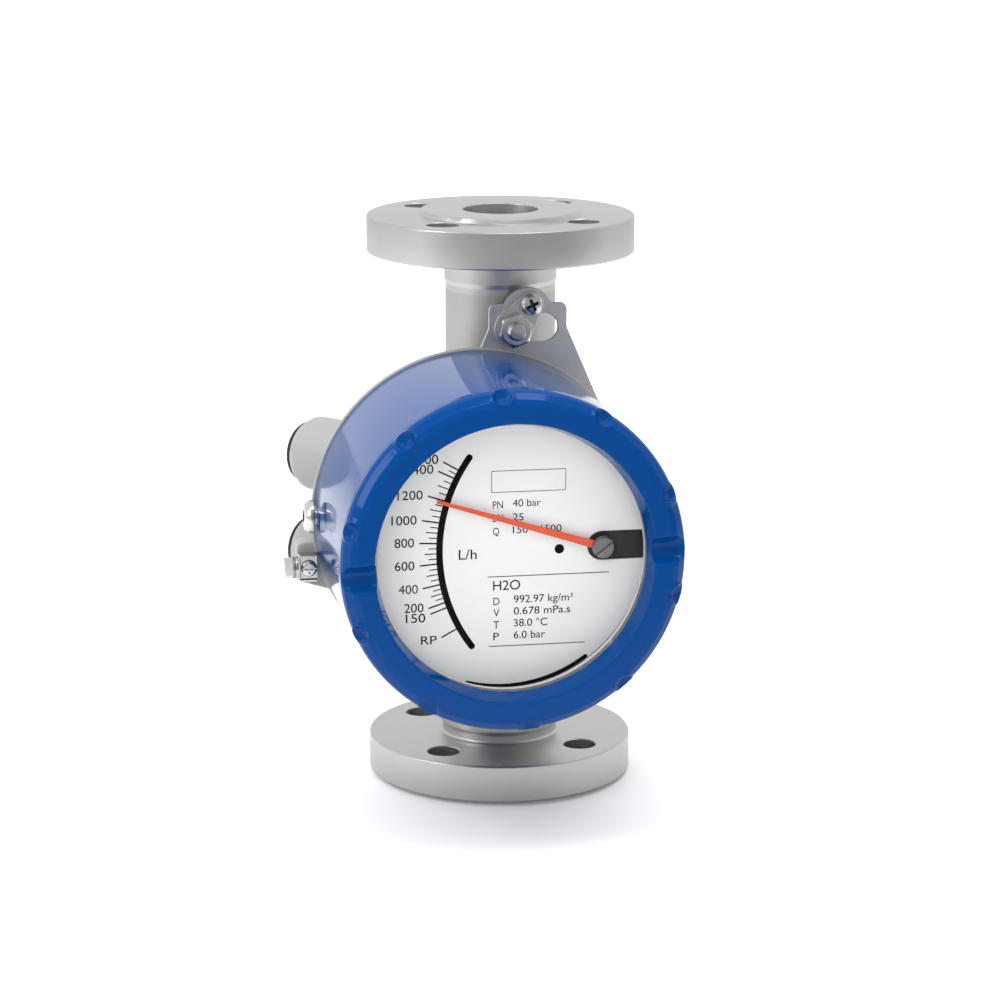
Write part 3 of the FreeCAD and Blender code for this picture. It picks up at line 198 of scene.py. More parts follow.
def lathe_marks_group():
    """Fine rings round Z on flat and round faces alike, with broad cloudy patches."""
    inputs = {"Place": "Vector", "Lines per metre": "Float", "Cloud": "Float"}
    tree, given = group_tree("lathe_marks", "ShaderNodeTree", inputs, {"Height": "Float", "Shade": "Float"})
    split = add(tree, "ShaderNodeSeparateXYZ", {0: given["Place"]}).outputs
    flat = add(tree, "ShaderNodeCombineXYZ", {"X": split["X"], "Y": split["Y"]})
    radius = add(tree, "ShaderNodeVectorMath", {0: flat.outputs[0]}, operation="LENGTH")
    ring = add(tree, "ShaderNodeCombineXYZ", {"X": radius.outputs["Value"], "Y": split["Z"]})
    scaled = add(tree, "ShaderNodeVectorMath", {0: ring.outputs[0], "Scale": given["Lines per metre"]},
                 operation="SCALE")
    around = add(tree, "ShaderNodeVectorMath", {0: given["Place"], "Scale": 18.0}, operation="SCALE")
    place = add(tree, "ShaderNodeVectorMath", {0: scaled.outputs[0], 1: around.outputs[0]}, operation="ADD")
    lines = add(tree, "ShaderNodeTexNoise",
                {"Vector": place.outputs[0], "Scale": 1.0, "Detail": 3.0, "Roughness": 0.6}).outputs["Fac"]
    cloud = add(tree, "ShaderNodeTexNoise",
                {"Vector": given["Place"], "Scale": 45.0, "Detail": 4.0, "Roughness": 0.55}).outputs["Fac"]
    blend = add(tree, "ShaderNodeMix", {0: given["Cloud"], 2: lines, 3: cloud}, data_type="FLOAT")
    add(tree, "NodeGroupOutput", {"Height": lines, "Shade": blend.outputs[0]})
    return tree


lathe_marks = lathe_marks_group()


def toned(tree, share, dark, pale):
    """Colour between two tones, by a share from 0 to 1."""
    sockets = {0: share, 6: (*dark, 1.0), 7: (*pale, 1.0)}
    return add(tree, "ShaderNodeMix", sockets, data_type="RGBA").outputs[2]


def raised(tree, height, strength, depth):
    """Normal of a fine relief of the given depth in metres, on top of the shape itself."""
    sockets = {"Height": height, "Strength": strength, "Distance": depth}
    return add(tree, "ShaderNodeBump", sockets).outputs[0]


def shaded(material, tree, sockets):
    """Gives a material one plain surface shader."""
    surface = add(tree, "ShaderNodeBsdfPrincipled", sockets)
    add(tree, "ShaderNodeOutputMaterial", {"Surface": surface.outputs[0]})
    return material


def turned_metal(name, dark, pale, smooth, rough, lines, depth, centre=(0.0, 0.0, 0.0), turn=(0.0, 0.0, 0.0)):
    """Metal with lathe rings round a local axis: two tones, two roughnesses, fine grooves."""
    material = bpy.data.materials.new(name)
    tree = empty_tree(material)
    where = add(tree, "ShaderNodeTexCoord").outputs["Object"]
    shift = add(tree, "ShaderNodeMapping", {"Vector": where, "Location": centre, "Rotation": turn},
                vector_type="TEXTURE")
    sockets = {"Place": shift.outputs[0], "Lines per metre": lines, "Cloud": 0.55}
    marks = add(tree, "ShaderNodeGroup", sockets, node_tree=lathe_marks).outputs
    return shaded(material, tree, {
        "Metallic": 1.0,
        "Base Color": toned(tree, marks["Shade"], dark, pale),
        "Roughness": between(tree, marks["Shade"], 0.25, 0.75, smooth, rough),
        "Normal": raised(tree, marks["Height"], 0.35, depth),
    })


satin_steel = turned_metal("satin_steel", (0.43, 0.425, 0.415), (0.60, 0.59, 0.58), 0.30, 0.46, 5200.0, 3e-5)


def eased(points):
    """Outline with its (radius, height, rounding) corners turned into short arcs."""
    outline = []
    count = len(points)
    for i, point in enumerate(points):
        here = Vector(point[:2])
        if len(point) < 3:
            outline.append(here)
            continue
        before = (Vector(points[i - 1][:2]) - here).normalized()
        after = (Vector(points[(i + 1) % count][:2]) - here).normalized()
        half = before.angle(after) / 2
        centre = here + (before + after).normalized() * (point[2] / math.sin(half))
        start = here + before * (point[2] / math.tan(half)) - centre
        end = here + after * (point[2] / math.tan(half)) - centre
        outline += [centre + start.slerp(end, step / 5) * point[2] for step in range(6)]
    return outline


def finished(bm, name, material, sharp=sharp_from):
    """Object from a bmesh, normals outwards, smooth but for its sharp edges."""
    bmesh.ops.remove_doubles(bm, verts=bm.verts, dist=1e-7)
    bmesh.ops.recalc_face_normals(bm, faces=bm.faces)
    mesh = bpy.data.meshes.new(name)
    bm.to_mesh(mesh)
    bm.free()
    mesh.shade_smooth()
    mesh.set_sharp_from_angle(angle=math.radians(sharp))
    mesh.materials.append(material)
    piece = bpy.data.objects.new(name, mesh)
    bpy.context.collection.objects.link(piece)
    return piece


def dense(points, pitch):
    """Outline with its long stretches cut into steps of about the given pitch."""
    filled = []
    for i, point in enumerate(points):
        here = Vector(point)
        step = Vector(points[(i + 1) % len(points)]) - here
        count = max(1, round(step.length / pitch))
        filled += [here + step * k / count for k in range(count)]
    return filled


def turned(name, points, material, place=Matrix.Identity(4), steps=192, bend=None, pitch=None):
    """Piece turned about local Z from (radius, height) points in millimetres, then put in place.

    A bend moves each point of the surface, in millimetres, before the piece is placed.
    """
    bm = bmesh.new()
    outline = eased(points)
    if pitch:
        outline = dense(outline, pitch)
    rings = []
    for radius, height in outline:
        count = 1 if radius < 1e-6 else steps
        ring = []
        for i in range(count):
            angle = math.tau * i / steps
            point = Vector((radius * math.cos(angle), radius * math.sin(angle), height))
            ring.append(bm.verts.new((bend(point) if bend else point) * mm))
        rings.append(ring)
    for ring, other in zip(rings, rings[1:] + rings[:1]):
        if len(ring) == 1 and len(other) == 1:
            continue
        for k in range(steps):
            after = (k + 1) % steps
            corners = [ring[k % len(ring)], ring[after % len(ring)],
                       other[after % len(other)], other[k % len(other)]]
            bm.faces.new(list(dict.fromkeys(corners)))
    bm.transform(place)
    return finished(bm, name, material)


def block(low, high, material):
    """Plain closed box between two corners, in millimetres."""
    bm = bmesh.new()
    bmesh.ops.create_cube(bm, size=1.0)
    for vertex in bm.verts:
        for axis in range(3):
            vertex.co[axis] = (low[axis] if vertex.co[axis] < 0 else high[axis]) * mm
    return finished(bm, "block", material)


def spot(x, y, z):
    """Place in millimetres."""
    return Matrix.Translation(Vector((x, y, z)) * mm)


def along(point, direction):
    """Place with local Z along a direction."""
    return spot(*point) @ Vector(direction).to_track_quat("Z", "Y").to_matrix().to_4x4()


def facing_front(x, y, z):
    """Place with local Z towards the viewer, local X to the right and local Y up."""
    return spot(x, y, z) @ Matrix.Rotation(math.radians(90.0), 4, "X")


def joined(pieces, name):
    """One mesh object from many, all at the origin and with the first one's finishes."""
    bm = bmesh.new()
    for piece in pieces:
        bm.from_mesh(piece.data)
    mesh = bpy.data.meshes.new(name)
    bm.to_mesh(mesh)
    bm.free()
    for material in pieces[0].data.materials:
        mesh.materials.append(material)
    for piece in pieces:
        bpy.data.objects.remove(piece)
    whole = bpy.data.objects.new(name, mesh)
    bpy.context.collection.objects.link(whole)
    return whole


def both_ends(piece):
    """Adds the piece's mirror image at the other end of the tube."""
    bm = bmesh.new()
    bm.from_mesh(piece.data)
    twin = bmesh.ops.duplicate(bm, geom=bm.verts[:] + bm.edges[:] + bm.faces[:])["geom"]
    for part in twin:
        if isinstance(part, bmesh.types.BMVert):
            part.co.z = meter_height * mm - part.co.z
    bmesh.ops.reverse_faces(bm, faces=[part for part in twin if isinstance(part, bmesh.types.BMFace)])
    bm.to_mesh(piece.data)
    bm.free()
    return piece


def shown(piece, body, slot, *nodes):
    """Hands a finished piece over: the body it rides on, its slot (not used) and what it stands for."""
    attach(piece, body)
    if nodes:
        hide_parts(*nodes)


def apply_modifiers(piece):
    """Turns a piece's live modifiers into plain mesh."""
    graph = bpy.context.evaluated_depsgraph_get()
    mesh = bpy.data.meshes.new_from_object(piece.evaluated_get(graph))
    piece.modifiers.clear()
    piece.data = mesh
    return piece


def cut_with(piece, cutters):
    """Cuts closed cutters out of a piece and throws them away."""
    for cutter in cutters:
        knife = piece.modifiers.new("cut", "BOOLEAN")
        knife.operation = "DIFFERENCE"
        knife.solver = "EXACT"
        knife.material_mode = "TRANSFER"
        knife.object = cutter
        apply_modifiers(piece)
        bpy.data.objects.remove(cutter)
    piece.data.shade_smooth()
    piece.data.set_sharp_from_angle(angle=math.radians(sharp_from))
    return piece


def flange_outline(neck):
    """Outline of a flange: sealing face, disc, then the given neck and the bore."""
    return [
        (bore_radius, 0.0, 0.4), (face_radius, 0.0, 0.3), (face_radius + 1.0, disc_front, 0.3),
        (flange_radius, disc_front, 1.0), (flange_radius, disc_back, 1.0),
    ] + neck + [(tube_radius, tube_start), (19.0, tube_start), (19.0, star_ledge), (bore_radius, star_ledge)]


def build_flange(name, neck, upside_down):
    """One flange with its four bolt holes, deburred at both ends."""
    flip = spot(0.0, 0.0, meter_height) @ Matrix.Rotation(math.pi, 4, "X")
    place = flip if upside_down else Matrix.Identity(4)
    flange = turned(name, flange_outline(neck), satin_steel, place)
    wide = bolt_hole_radius + bolt_hole_flare
    far = disc_front + disc_back
    hole = [(0.0, 0.0), (wide, 0.0), (bolt_hole_radius, bolt_hole_flare),
            (bolt_hole_radius, far - bolt_hole_flare), (wide, far), (0.0, far)]
    cutters = []
    for i in range(bolt_holes):
        angle = math.tau * (i + 0.5) / bolt_holes
        centre = spot(bolt_circle_radius * math.cos(angle), bolt_circle_radius * math.sin(angle), 0.0)
        cutters.append(turned("hole", hole, satin_steel, place @ centre, 48))
    shown(cut_with(flange, cutters), "meter", "satin_steel", name)


lower_neck = [(25.05, disc_back, 1.2), (25.05, 21.6, 1.2), (26.15, 23.2, 1.2), (26.15, 26.8, 2.2),
              (23.9, 30.2, 1.2)]
upper_neck = [(24.15, disc_back, 1.0), (24.15, 29.5, 0.6), (tube_radius, 31.5, 0.6)]
build_flange("inlet_flange", lower_neck, False)
build_flange("outlet_flange", upper_neck, True)

tube_steel = turned_metal("tube_steel", (0.40, 0.395, 0.39), (0.56, 0.555, 0.55), 0.42, 0.58, 5200.0, 3e-5)
tube = turned("tube", [
    (tube_bore_radius, tube_start), (tube_radius, tube_start),
    (tube_radius, tube_end), (tube_bore_radius, tube_end),
    (tube_bore_radius, 152.5), (18.0, 150.0), (13.3, 76.0), (tube_bore_radius, 68.8),
], tube_steel)
shown(tube, "meter", "satin_steel", "metering_tube")


def dress(names, material):
    """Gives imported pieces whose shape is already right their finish."""
    for name in names:
        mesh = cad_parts[name].data
        mesh.materials.clear()
        mesh.materials.append(material)


dress(["lower_guide_star", "upper_guide_star", "lower_stop_sleeve", "upper_stop_sleeve"], satin_steel)


# ---------------------------- guide rod, nuts and rings
# Ground stainless rod on the flow axis with a thin hexagon nut at each end. Flat spring rings,
# snapped into grooves in the flanges' bores, hold the guide stars that carry it.
bright_steel = turned_metal("bright_steel", (0.50, 0.49, 0.48), (0.72, 0.71, 0.70), 0.16, 0.30, 6000.0, 2e-5)
spring_steel = turned_metal("spring_steel", (0.24, 0.24, 0.24), (0.44, 0.44, 0.44), 0.30, 0.42, 6000.0, 2e-5)
dress(["guide_rod", "rod_nuts"], bright_steel)
dress(["snap_rings"], spring_steel)


# ---------------------------- float
# Hollow turned stainless float, free to slide on the rod. A black ferrite ring magnet sits
# inside it, sealed in by a welded lid.
float_steel = turned_metal("float_steel", (0.46, 0.45, 0.43), (0.66, 0.65, 0.63), 0.20, 0.34, 7000.0, 2e-5)
magnet_black = turned_metal("magnet_black", (0.05, 0.05, 0.05), (0.12, 0.12, 0.12), 0.45, 0.60, 900.0, 4e-5)
dress(["float_body", "float_cap"], float_steel)
dress(["float_magnet", "follower_magnet", "brake_magnet"], magnet_black)


# ---------------------------- mounting bracket
# Stamped stainless sheet, dull from pickling, with slotted ears for the tube's two studs and a
# wide middle for the casting. Teardrop washers of thinner sheet lie on the ears.
def sheet_metal(name, dark, pale, smooth, rough):
    """Rolled sheet: long faint grain in one direction and cloudy pickling marks."""
    material = bpy.data.materials.new(name)
    tree = empty_tree(material)
    where = add(tree, "ShaderNodeTexCoord").outputs["Object"]
    stretch = add(tree, "ShaderNodeMapping", {"Vector": where, "Scale": (2200.0, 2200.0, 90.0)}).outputs[0]
    grain = add(tree, "ShaderNodeTexNoise", {"Vector": stretch, "Scale": 1.0, "Detail": 2.0}).outputs["Fac"]
    cloud = add(tree, "ShaderNodeTexNoise", {"Vector": where, "Scale": 90.0, "Detail": 4.0}).outputs["Fac"]
    return shaded(material, tree, {
        "Metallic": 1.0,
        "Base Color": toned(tree, cloud, dark, pale),
        "Roughness": between(tree, grain, 0.3, 0.7, smooth, rough),
        "Normal": raised(tree, grain, 0.25, 2e-5),
    })


bracket_steel = sheet_metal("bracket_steel", (0.58, 0.58, 0.58), (0.70, 0.70, 0.70), 0.48, 0.60)


def stamped(node, soft):
    """Flat packed plate drawn again from its outlines, its edges rounded over by the press."""
    bm = bmesh.new()
    bm.from_mesh(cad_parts[node].data)
    bmesh.ops.remove_doubles(bm, verts=bm.verts, dist=1e-6)
    low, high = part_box(node)
    beside = {}
    for edge in bm.edges:
        if max(vertex.co.y for vertex in edge.verts) < low[1] + 1e-6 and edge.calc_face_angle() > 1.0:
            for vertex in edge.verts:
                beside.setdefault(vertex, []).append(edge.other_vert(vertex))
    outline = bpy.data.curves.new(node + "_outline", "CURVE")
    outline.dimensions = "2D"
    outline.fill_mode = "BOTH"
    while beside:
        first = next(iter(beside))
        before = first
        here = beside.pop(first)[0]
        loop = [first]
        while here is not first:
            loop.append(here)
            pair = beside.pop(here)
            before, here = here, pair[1] if pair[0] is before else pair[0]
        line = outline.splines.new("POLY")
        line.points.add(len(loop) - 1)
        line.use_cyclic_u = True
        for point, vertex in zip(line.points, loop):
            point.co = (vertex.co.x, vertex.co.z, 0.0, 1.0)
    bm.free()
    outline.bevel_depth = soft * mm
    outline.bevel_resolution = 2
    outline.offset = -soft * mm
    outline.extrude = (high[1] - low[1]) / 2 - soft * mm
    plate = bpy.data.objects.new(node + "_outline", outline)
    bpy.context.collection.objects.link(plate)
    graph = bpy.context.evaluated_depsgraph_get()
    mesh = bpy.data.meshes.new_from_object(plate.evaluated_get(graph))
    bpy.data.objects.remove(plate)
    bm = bmesh.new()
    bm.from_mesh(mesh)
    bm.transform(facing_front(0.0, (low[1] + high[1]) / 2 / mm, 0.0))
    piece = finished(bm, node + "_shape", bracket_steel, 50.0)
    piece.modifiers.new("flat_faces", "WEIGHTED_NORMAL").keep_sharp = True
    apply_modifiers(piece)
    shown(piece, "meter", "bracket_steel", node)


stamped("mounting_bracket", 0.35)
stamped("tab_washers", 0.40)


# ---------------------------- studs, nuts and screws
# M8 studs welded on the tube, chamfered 13 mm nuts, and pan-head screws with a cross recess
# that pin the ear washers. Four hexagon screws hold the head from behind. All stainless.
# Near-black steel that the boolean cuts give to the inside of screw recesses and sockets: painted shade in
# the hollows of bright steel screws.
recess_shade = turned_metal("recess_painted_shade", (0.04, 0.04, 0.04), (0.08, 0.08, 0.08), 0.40, 0.55, 3000.0, 2e-5)
stud_z = 203.3
ear_front = -31.5
ear_screw_x = 7.6
ear_screw_z = 213.6
bracket_x = 6.4
head_z = 125.0
head_screw_spots = [(bracket_x + x, head_z + z) for x in (-24.0, 24.0) for z in (-30.0, 30.0)]


def six_sided(flats, turn=0.0):
    """Bend that keeps a turned shape inside a hexagon, so chamfers meet its flats in arcs."""
    def bend(point):
        angle = math.atan2(point.y, point.x) - math.radians(turn)
        limit = flats / 2 / math.cos(angle % (math.pi / 3) - math.pi / 6)
        reach = math.hypot(point.x, point.y)
        if reach > limit:
            point.x *= limit / reach
            point.y *= limit / reach
        return point
    return bend


def hexagon(name, flats, height, place, turn=0.0, hole=0.0):
    """Hexagon head or nut of bright steel, 30 degree chamfers at its outer end."""
    corner = flats / math.sqrt(3.0) + 0.02
    points = [(hole, 0.0), (corner, 0.0), (corner, height - 0.115 * flats / 2), (flats * 0.47, height),
              (hole, height)]
    return turned(name, points, bright_steel, place, 72, six_sided(flats, turn), 0.35)


def threaded(root, start, end, radius, pitch):
    """Outline of a thread from start to end, with a chamfered tip on the axis."""
    points = [(root, start)]
    height = start
    while height < end - 2 * pitch:
        points += [(radius, height + 0.2 * pitch), (radius, height + 0.35 * pitch),
                   (radius - 0.5 * pitch, height + 0.7 * pitch), (radius - 0.5 * pitch, height + 0.8 * pitch)]
        height += pitch
    return points + [(radius - 0.1, height + 0.3 * pitch), (radius - 0.8, end, 0.2), (0.0, end)]


def cross_cutters(place, reach, width, depth, turn, material):
    """Two crossed bars with their floor at a depth below the placed point."""
    bars = []
    for quarter in (0.0, 90.0):
        bar = block((-reach, -width, -depth), (reach, width, 5.0), material)
        bar.data.transform(place @ Matrix.Rotation(math.radians(turn + quarter), 4, "Z"))
        bars.append(bar)
    return bars


shouldered = [(0.0, 22.0), (7.0, 22.0), (7.0, 28.0, 0.3)] + threaded(4.0, 28.0, 41.0, 4.0, 1.25)
stud = turned("studs", shouldered, bright_steel, facing_front(0.0, 0.0, stud_z), 64)
shown(both_ends(stud), "meter", "bright_steel", "tube_studs")

nut = hexagon("nuts", 13.0, 6.5, facing_front(0.0, ear_front, stud_z), 20.0, 4.05)
shown(both_ends(nut), "meter", "bright_steel", "stud_nuts")

pan_head = [(0.0, -5.5), (2.5, -5.5), (2.5, 0.0), (4.75, 0.0, 0.2), (4.75, 1.3, 0.8), (3.9, 2.9, 1.2),
            (2.2, 3.5), (0.0, 3.6)]
pin = turned("ear_screws", pan_head, bright_steel, facing_front(ear_screw_x, ear_front, ear_screw_z), 64)
pin_top = facing_front(ear_screw_x, ear_front - 3.6, ear_screw_z)
# The cross recess's walls and floor take the near-black painted shade.
cut_with(pin, cross_cutters(pin_top, 2.7, 0.7, 2.2, 25.0, recess_shade))
shown(both_ends(pin), "meter", "bright_steel", "tab_screws")


def repeat_tree():
    """Geometry tree: one copy of a piece on each point, turned and sized by the point's own values."""
    inputs = {"Points": "Geometry", "Piece": "Object", "Finish": "Material"}
    tree, given = group_tree("repeat_on_points", "GeometryNodeTree", inputs, {"Geometry": "Geometry"})
    piece = add(tree, "GeometryNodeObjectInfo", {"Object": given["Piece"]})
    turn = add(tree, "GeometryNodeInputNamedAttribute", {"Name": "turn"}, data_type="FLOAT_VECTOR")
    size = add(tree, "GeometryNodeInputNamedAttribute", {"Name": "size"}, data_type="FLOAT_VECTOR")
    copies = add(tree, "GeometryNodeInstanceOnPoints", {
        "Points": given["Points"], "Instance": piece.outputs["Geometry"],
        "Rotation": turn.outputs["Attribute"], "Scale": size.outputs["Attribute"],
    })
    real = add(tree, "GeometryNodeRealizeInstances", {0: copies.outputs[0]})
    finish = add(tree, "GeometryNodeSetMaterial", {"Geometry": real.outputs[0], "Material": given["Finish"]})
    add(tree, "NodeGroupOutput", {0: finish.outputs[0]})
    return tree


repeat_on_points = repeat_tree()


def repeated(name, piece, places, material):
    """One mesh with a copy of the piece at each (point, turn, size), points in millimetres."""
    mesh = bpy.data.meshes.new(name)
    mesh.from_pydata([Vector(point) * mm for point, turn, size in places], [], [])
    turns = mesh.attributes.new("turn", "FLOAT_VECTOR", "POINT")
    sizes = mesh.attributes.new("size", "FLOAT_VECTOR", "POINT")
    for i, (point, turn, size) in enumerate(places):
        turns.data[i].vector = turn
        sizes.data[i].vector = size
    whole = bpy.data.objects.new(name, mesh)
    bpy.context.collection.objects.link(whole)
    growth = whole.modifiers.new("copies", "NODES")
    growth.node_group = repeat_on_points
    given = {"Piece": piece, "Finish": material}
    for socket in repeat_on_points.interface.items_tree:
        if socket.name in given:
            growth[socket.identifier] = given[socket.name]
    apply_modifiers(whole)
    bpy.data.objects.remove(piece)
    return whole


screw = hexagon("screw", 8.0, 3.5, spot(0.0, 0.0, 0.0))
shank = turned("shank", [(0.0, -10.0), (2.5, -10.0, 0.4), (2.5, 0.0), (0.0, 0.0)], bright_steel, steps=32)
from_behind = (math.radians(-90.0), 0.0, 0.0)
places = [((x, -28.0, z), from_behind, (1.0, 1.0, 1.0)) for x, z in head_screw_spots]
head_screws = repeated("head_screws", joined([screw, shank], "screw"), places, bright_steel)
shown(head_screws, "meter", "bright_steel", "bracket_screws")


# ---------------------------- casting
# Die-cast aluminium back half in a light grey powder coat with fine orange peel, screwed to the
# bracket through four pads. Its two slanting cable bosses are closed with black moulded plugs.
def coat_skin_group():
    """Fine orange peel of a baked powder coat, and broad faint tone changes."""
    inputs = {"Place": "Vector", "Grains per metre": "Float"}
    tree, given = group_tree("coat_skin", "ShaderNodeTree", inputs, {"Height": "Float", "Tone": "Float"})
    peel = add(tree, "ShaderNodeTexNoise", {"Vector": given["Place"], "Scale": given["Grains per metre"],
                                            "Detail": 2.0, "Roughness": 0.45})
    broad = add(tree, "ShaderNodeTexNoise", {"Vector": given["Place"], "Scale": 22.0, "Detail": 3.0})
    add(tree, "NodeGroupOutput", {"Height": peel.outputs["Fac"], "Tone": broad.outputs["Fac"]})
    return tree


coat_skin = coat_skin_group()


def coated(name, dark, pale, rough, shine, grains, depth):
    """Painted or moulded surface with a fine skin: two tones, a roughness and a shine."""
    material = bpy.data.materials.new(name)
    tree = empty_tree(material)
    where = add(tree, "ShaderNodeTexCoord").outputs["Object"]
    sockets = {"Place": where, "Grains per metre": grains}
    skin = add(tree, "ShaderNodeGroup", sockets, node_tree=coat_skin).outputs
    return shaded(material, tree, {
        "Roughness": rough,
        "Specular IOR Level": shine,
        "Base Color": toned(tree, skin["Tone"], dark, pale),
        "Normal": raised(tree, skin["Height"], 0.3, depth),
    })


grey_coat = coated("grey_coat", (0.27, 0.27, 0.27), (0.31, 0.31, 0.308), 0.38, 0.5, 900.0, 8e-5)
black_plastic = coated("black_plastic", (0.012, 0.012, 0.013), (0.022, 0.022, 0.023), 0.45, 0.4, 1500.0, 3e-5)
head_x = -16.5
head_place = facing_front(head_x, 0.0, head_z)
rear_from = Vector((0.0, -0.0301, 0.0))
rim_radius = 70.6
thread_crest = 66.0
thread_root = 65.3
thread_pitch = 1.5
thread_length = 17.5
boss_rise = 21.0
boss_slant = math.radians(50.0)


def casting_rear():
    """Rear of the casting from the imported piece, its sharp inner corners run together as cast."""
    bm = bmesh.new()
    bm.from_mesh(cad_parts["housing_base"].data)
    bmesh.ops.remove_doubles(bm, verts=bm.verts, dist=1e-6)
    everything = bm.verts[:] + bm.edges[:] + bm.faces[:]
    cut = bmesh.ops.bisect_plane(bm, geom=everything, plane_co=rear_from, plane_no=(0.0, 1.0, 0.0),
                                 clear_inner=True)
    bmesh.ops.holes_fill(bm, edges=[part for part in cut["geom_cut"] if isinstance(part, bmesh.types.BMEdge)])
    rear = finished(bm, "casting_rear", grey_coat)
    skin = rear.modifiers.new("skin", "REMESH")
    skin.mode = "VOXEL"
    skin.voxel_size = 0.62 * mm
    apply_modifiers(rear)
    flow = rear.modifiers.new("flow", "SMOOTH")
    flow.factor = 0.5
    flow.iterations = 5
    apply_modifiers(rear)
    return rear


def casting_rim():
    """Rim, wall and threaded ring, with the pocket for the earth terminal cut in the rim."""
    rim = [(0.0, 30.05), (rim_radius - 0.2, 30.05, 0.3), (rim_radius, 30.6, 0.4), (rim_radius, 33.0, 0.6),
           (thread_crest, 33.0)]
    height = thread_pitch
    while height < thread_length:
        rim += [(thread_crest, 33.0 + height), (thread_crest, 33.0 + (height + 0.5)),
                (thread_root, 33.0 + (height + 0.9)), (thread_root, 33.0 + (height + 1.2))]
        height += thread_pitch
    rim += [(thread_crest, 52.0, 0.5), (61.0, 52.0, 0.5), (61.0, 34.0), (0.0, 34.0)]
    piece = turned("casting_rim", rim, grey_coat, head_place, 256)
    pocket = block((-100.2, -34.0, 97.6), (-84.7, -30.0, 110.0), grey_coat)
    return cut_with(piece, [pocket])


pad_outline = [(0.0, 33.0), (6.5, 33.0), (6.5, 41.0, 0.8), (0.0, 41.0)]
pads = [turned("pad", pad_outline, grey_coat, facing_front(x, 0.0, z), 48) for x, z in head_screw_spots]
shown(joined([casting_rear(), casting_rim()] + pads, "casting"), "meter", "grey_coat", "housing_base")

for side, name in ((1.0, "upper_blind_plug"), (-1.0, "lower_blind_plug")):
    place = along((-82.8, 2.4, head_z + boss_rise * side), (-math.cos(boss_slant), math.sin(boss_slant), 0.0))
    outline = [(0.0, -10.0), (9.9, -10.0), (9.9, 0.8), (13.0, 0.8, 0.2), (13.0, 2.2, 0.5), (0.0, 2.2)]
    plug = turned(name + "_shape", outline, black_plastic, place, 96)
    socket = [(0.0, -4.0), (4.7, -4.0), (4.7, 4.0), (0.0, 4.0)]
    cut_with(plug, [turned("socket", socket, black_plastic, place, 72, six_sided(8.0))])
    shown(plug, "meter", "black_plastic", name)
rubber_black = coated("rubber_black", (0.014, 0.014, 0.014), (0.03, 0.03, 0.03), 0.7, 0.3, 2500.0, 3e-5)
dress(["plug_seals", "cover_seal"], rubber_black)


# ---------------------------- earth terminal
# Stainless clamp at the casting's left: a bent strap round a square block, a round-headed
# screw into the lug, and a hexagon bolt with a flat and a spring washer for the outer wire.
earth_x = -88.6
earth_z = 103.8


def softened(node, width, material, slot):
    """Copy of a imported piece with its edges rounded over, shown in its place."""
    bm = bmesh.new()
    bm.from_mesh(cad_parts[node].data)
    bmesh.ops.remove_doubles(bm, verts=bm.verts, dist=1e-6)
    bmesh.ops.dissolve_limit(bm, angle_limit=math.radians(1.0), verts=bm.verts, edges=bm.edges)
    copy = finished(bm, node + "_shape", material)
    edge = copy.modifiers.new("edge", "BEVEL")
    edge.width = width * mm
    edge.segments = 3
    edge.limit_method = "ANGLE"
    edge.angle_limit = math.radians(40.0)
    edge.harden_normals = True
    apply_modifiers(copy)
    shown(copy, "meter", slot, node)


softened("earth_clamp", 0.2, bright_steel, "bright_steel")
softened("earth_block", 0.3, bright_steel, "bright_steel")
softened("earth_washer", 0.15, bright_steel, "bright_steel")
softened("earth_spring_washer", 0.15, spring_steel, "spring_steel")
round_head = [(0.0, -11.4), (2.0, -11.4), (2.0, 0.0), (3.4, 0.0), (3.4, 1.2, 0.6), (2.4, 2.0, 0.4),
              (0.0, 2.0)]
earth_head = turned("earth_screw_shape", round_head, bright_steel, facing_front(earth_x, -35.4, earth_z), 64)
recess = cross_cutters(facing_front(earth_x, -37.4, earth_z), 2.0, 0.3, 1.1, 0.0, bright_steel)
long_slot = block((-93.0, -38.0, earth_z - 0.3), (-85.0, -36.9, earth_z + 0.3), bright_steel)
cut_with(earth_head, recess + [long_slot])
shown(earth_head, "meter", "bright_steel", "earth_screw")
bolt_seat = along((-95.5, -33.3, earth_z), (-1.0, 0.0, 0.0))
bolt = hexagon("bolt", 8.0, 3.6, bolt_seat, 30.0)
shank_outline = [(0.0, -3.3), (2.4, -3.3, 0.3), (2.4, 0.2), (0.0, 0.2)]
bolt_shank = turned("bolt_shank", shank_outline, bright_steel, bolt_seat, 32)
shown(joined([bolt, bolt_shank], "earth_bolt_shape"), "meter", "bright_steel", "earth_bolt")


# ---------------------------- cover
# Deep die-cast aluminium cover, screwed on the casting's thread and painted gloss blue.
# Its front has a proud ring, a sloping shoulder with ten dimples and two cross grooves.
blue_coat = coated("blue_coat", (0.0, 0.041, 0.190), (0.0, 0.046, 0.206), 0.06, 0.12, 380.0, 3e-5)
shoulder_radius = 67.3
shoulder_depth = 3.0
dimple_count = 10
dimple_radius = 4.0
dimple_depth = 2.0
dimple_lip = 0.55
dimple_turn = 4.75
groove_radius = 5.2
groove_turn = 3.2
groove_softness = 1.4
pressed_depth = 12.0
cover_front = 127.0
cover_steps = 1000
diagonal = math.sqrt(2.0)


def soft_depth(front, back, soft):
    """The deeper of two depths below the front, run together over a soft corner."""
    blend = max(soft - abs(front - back), 0.0) / soft
    return max(front, back) + blend * blend * soft / 4


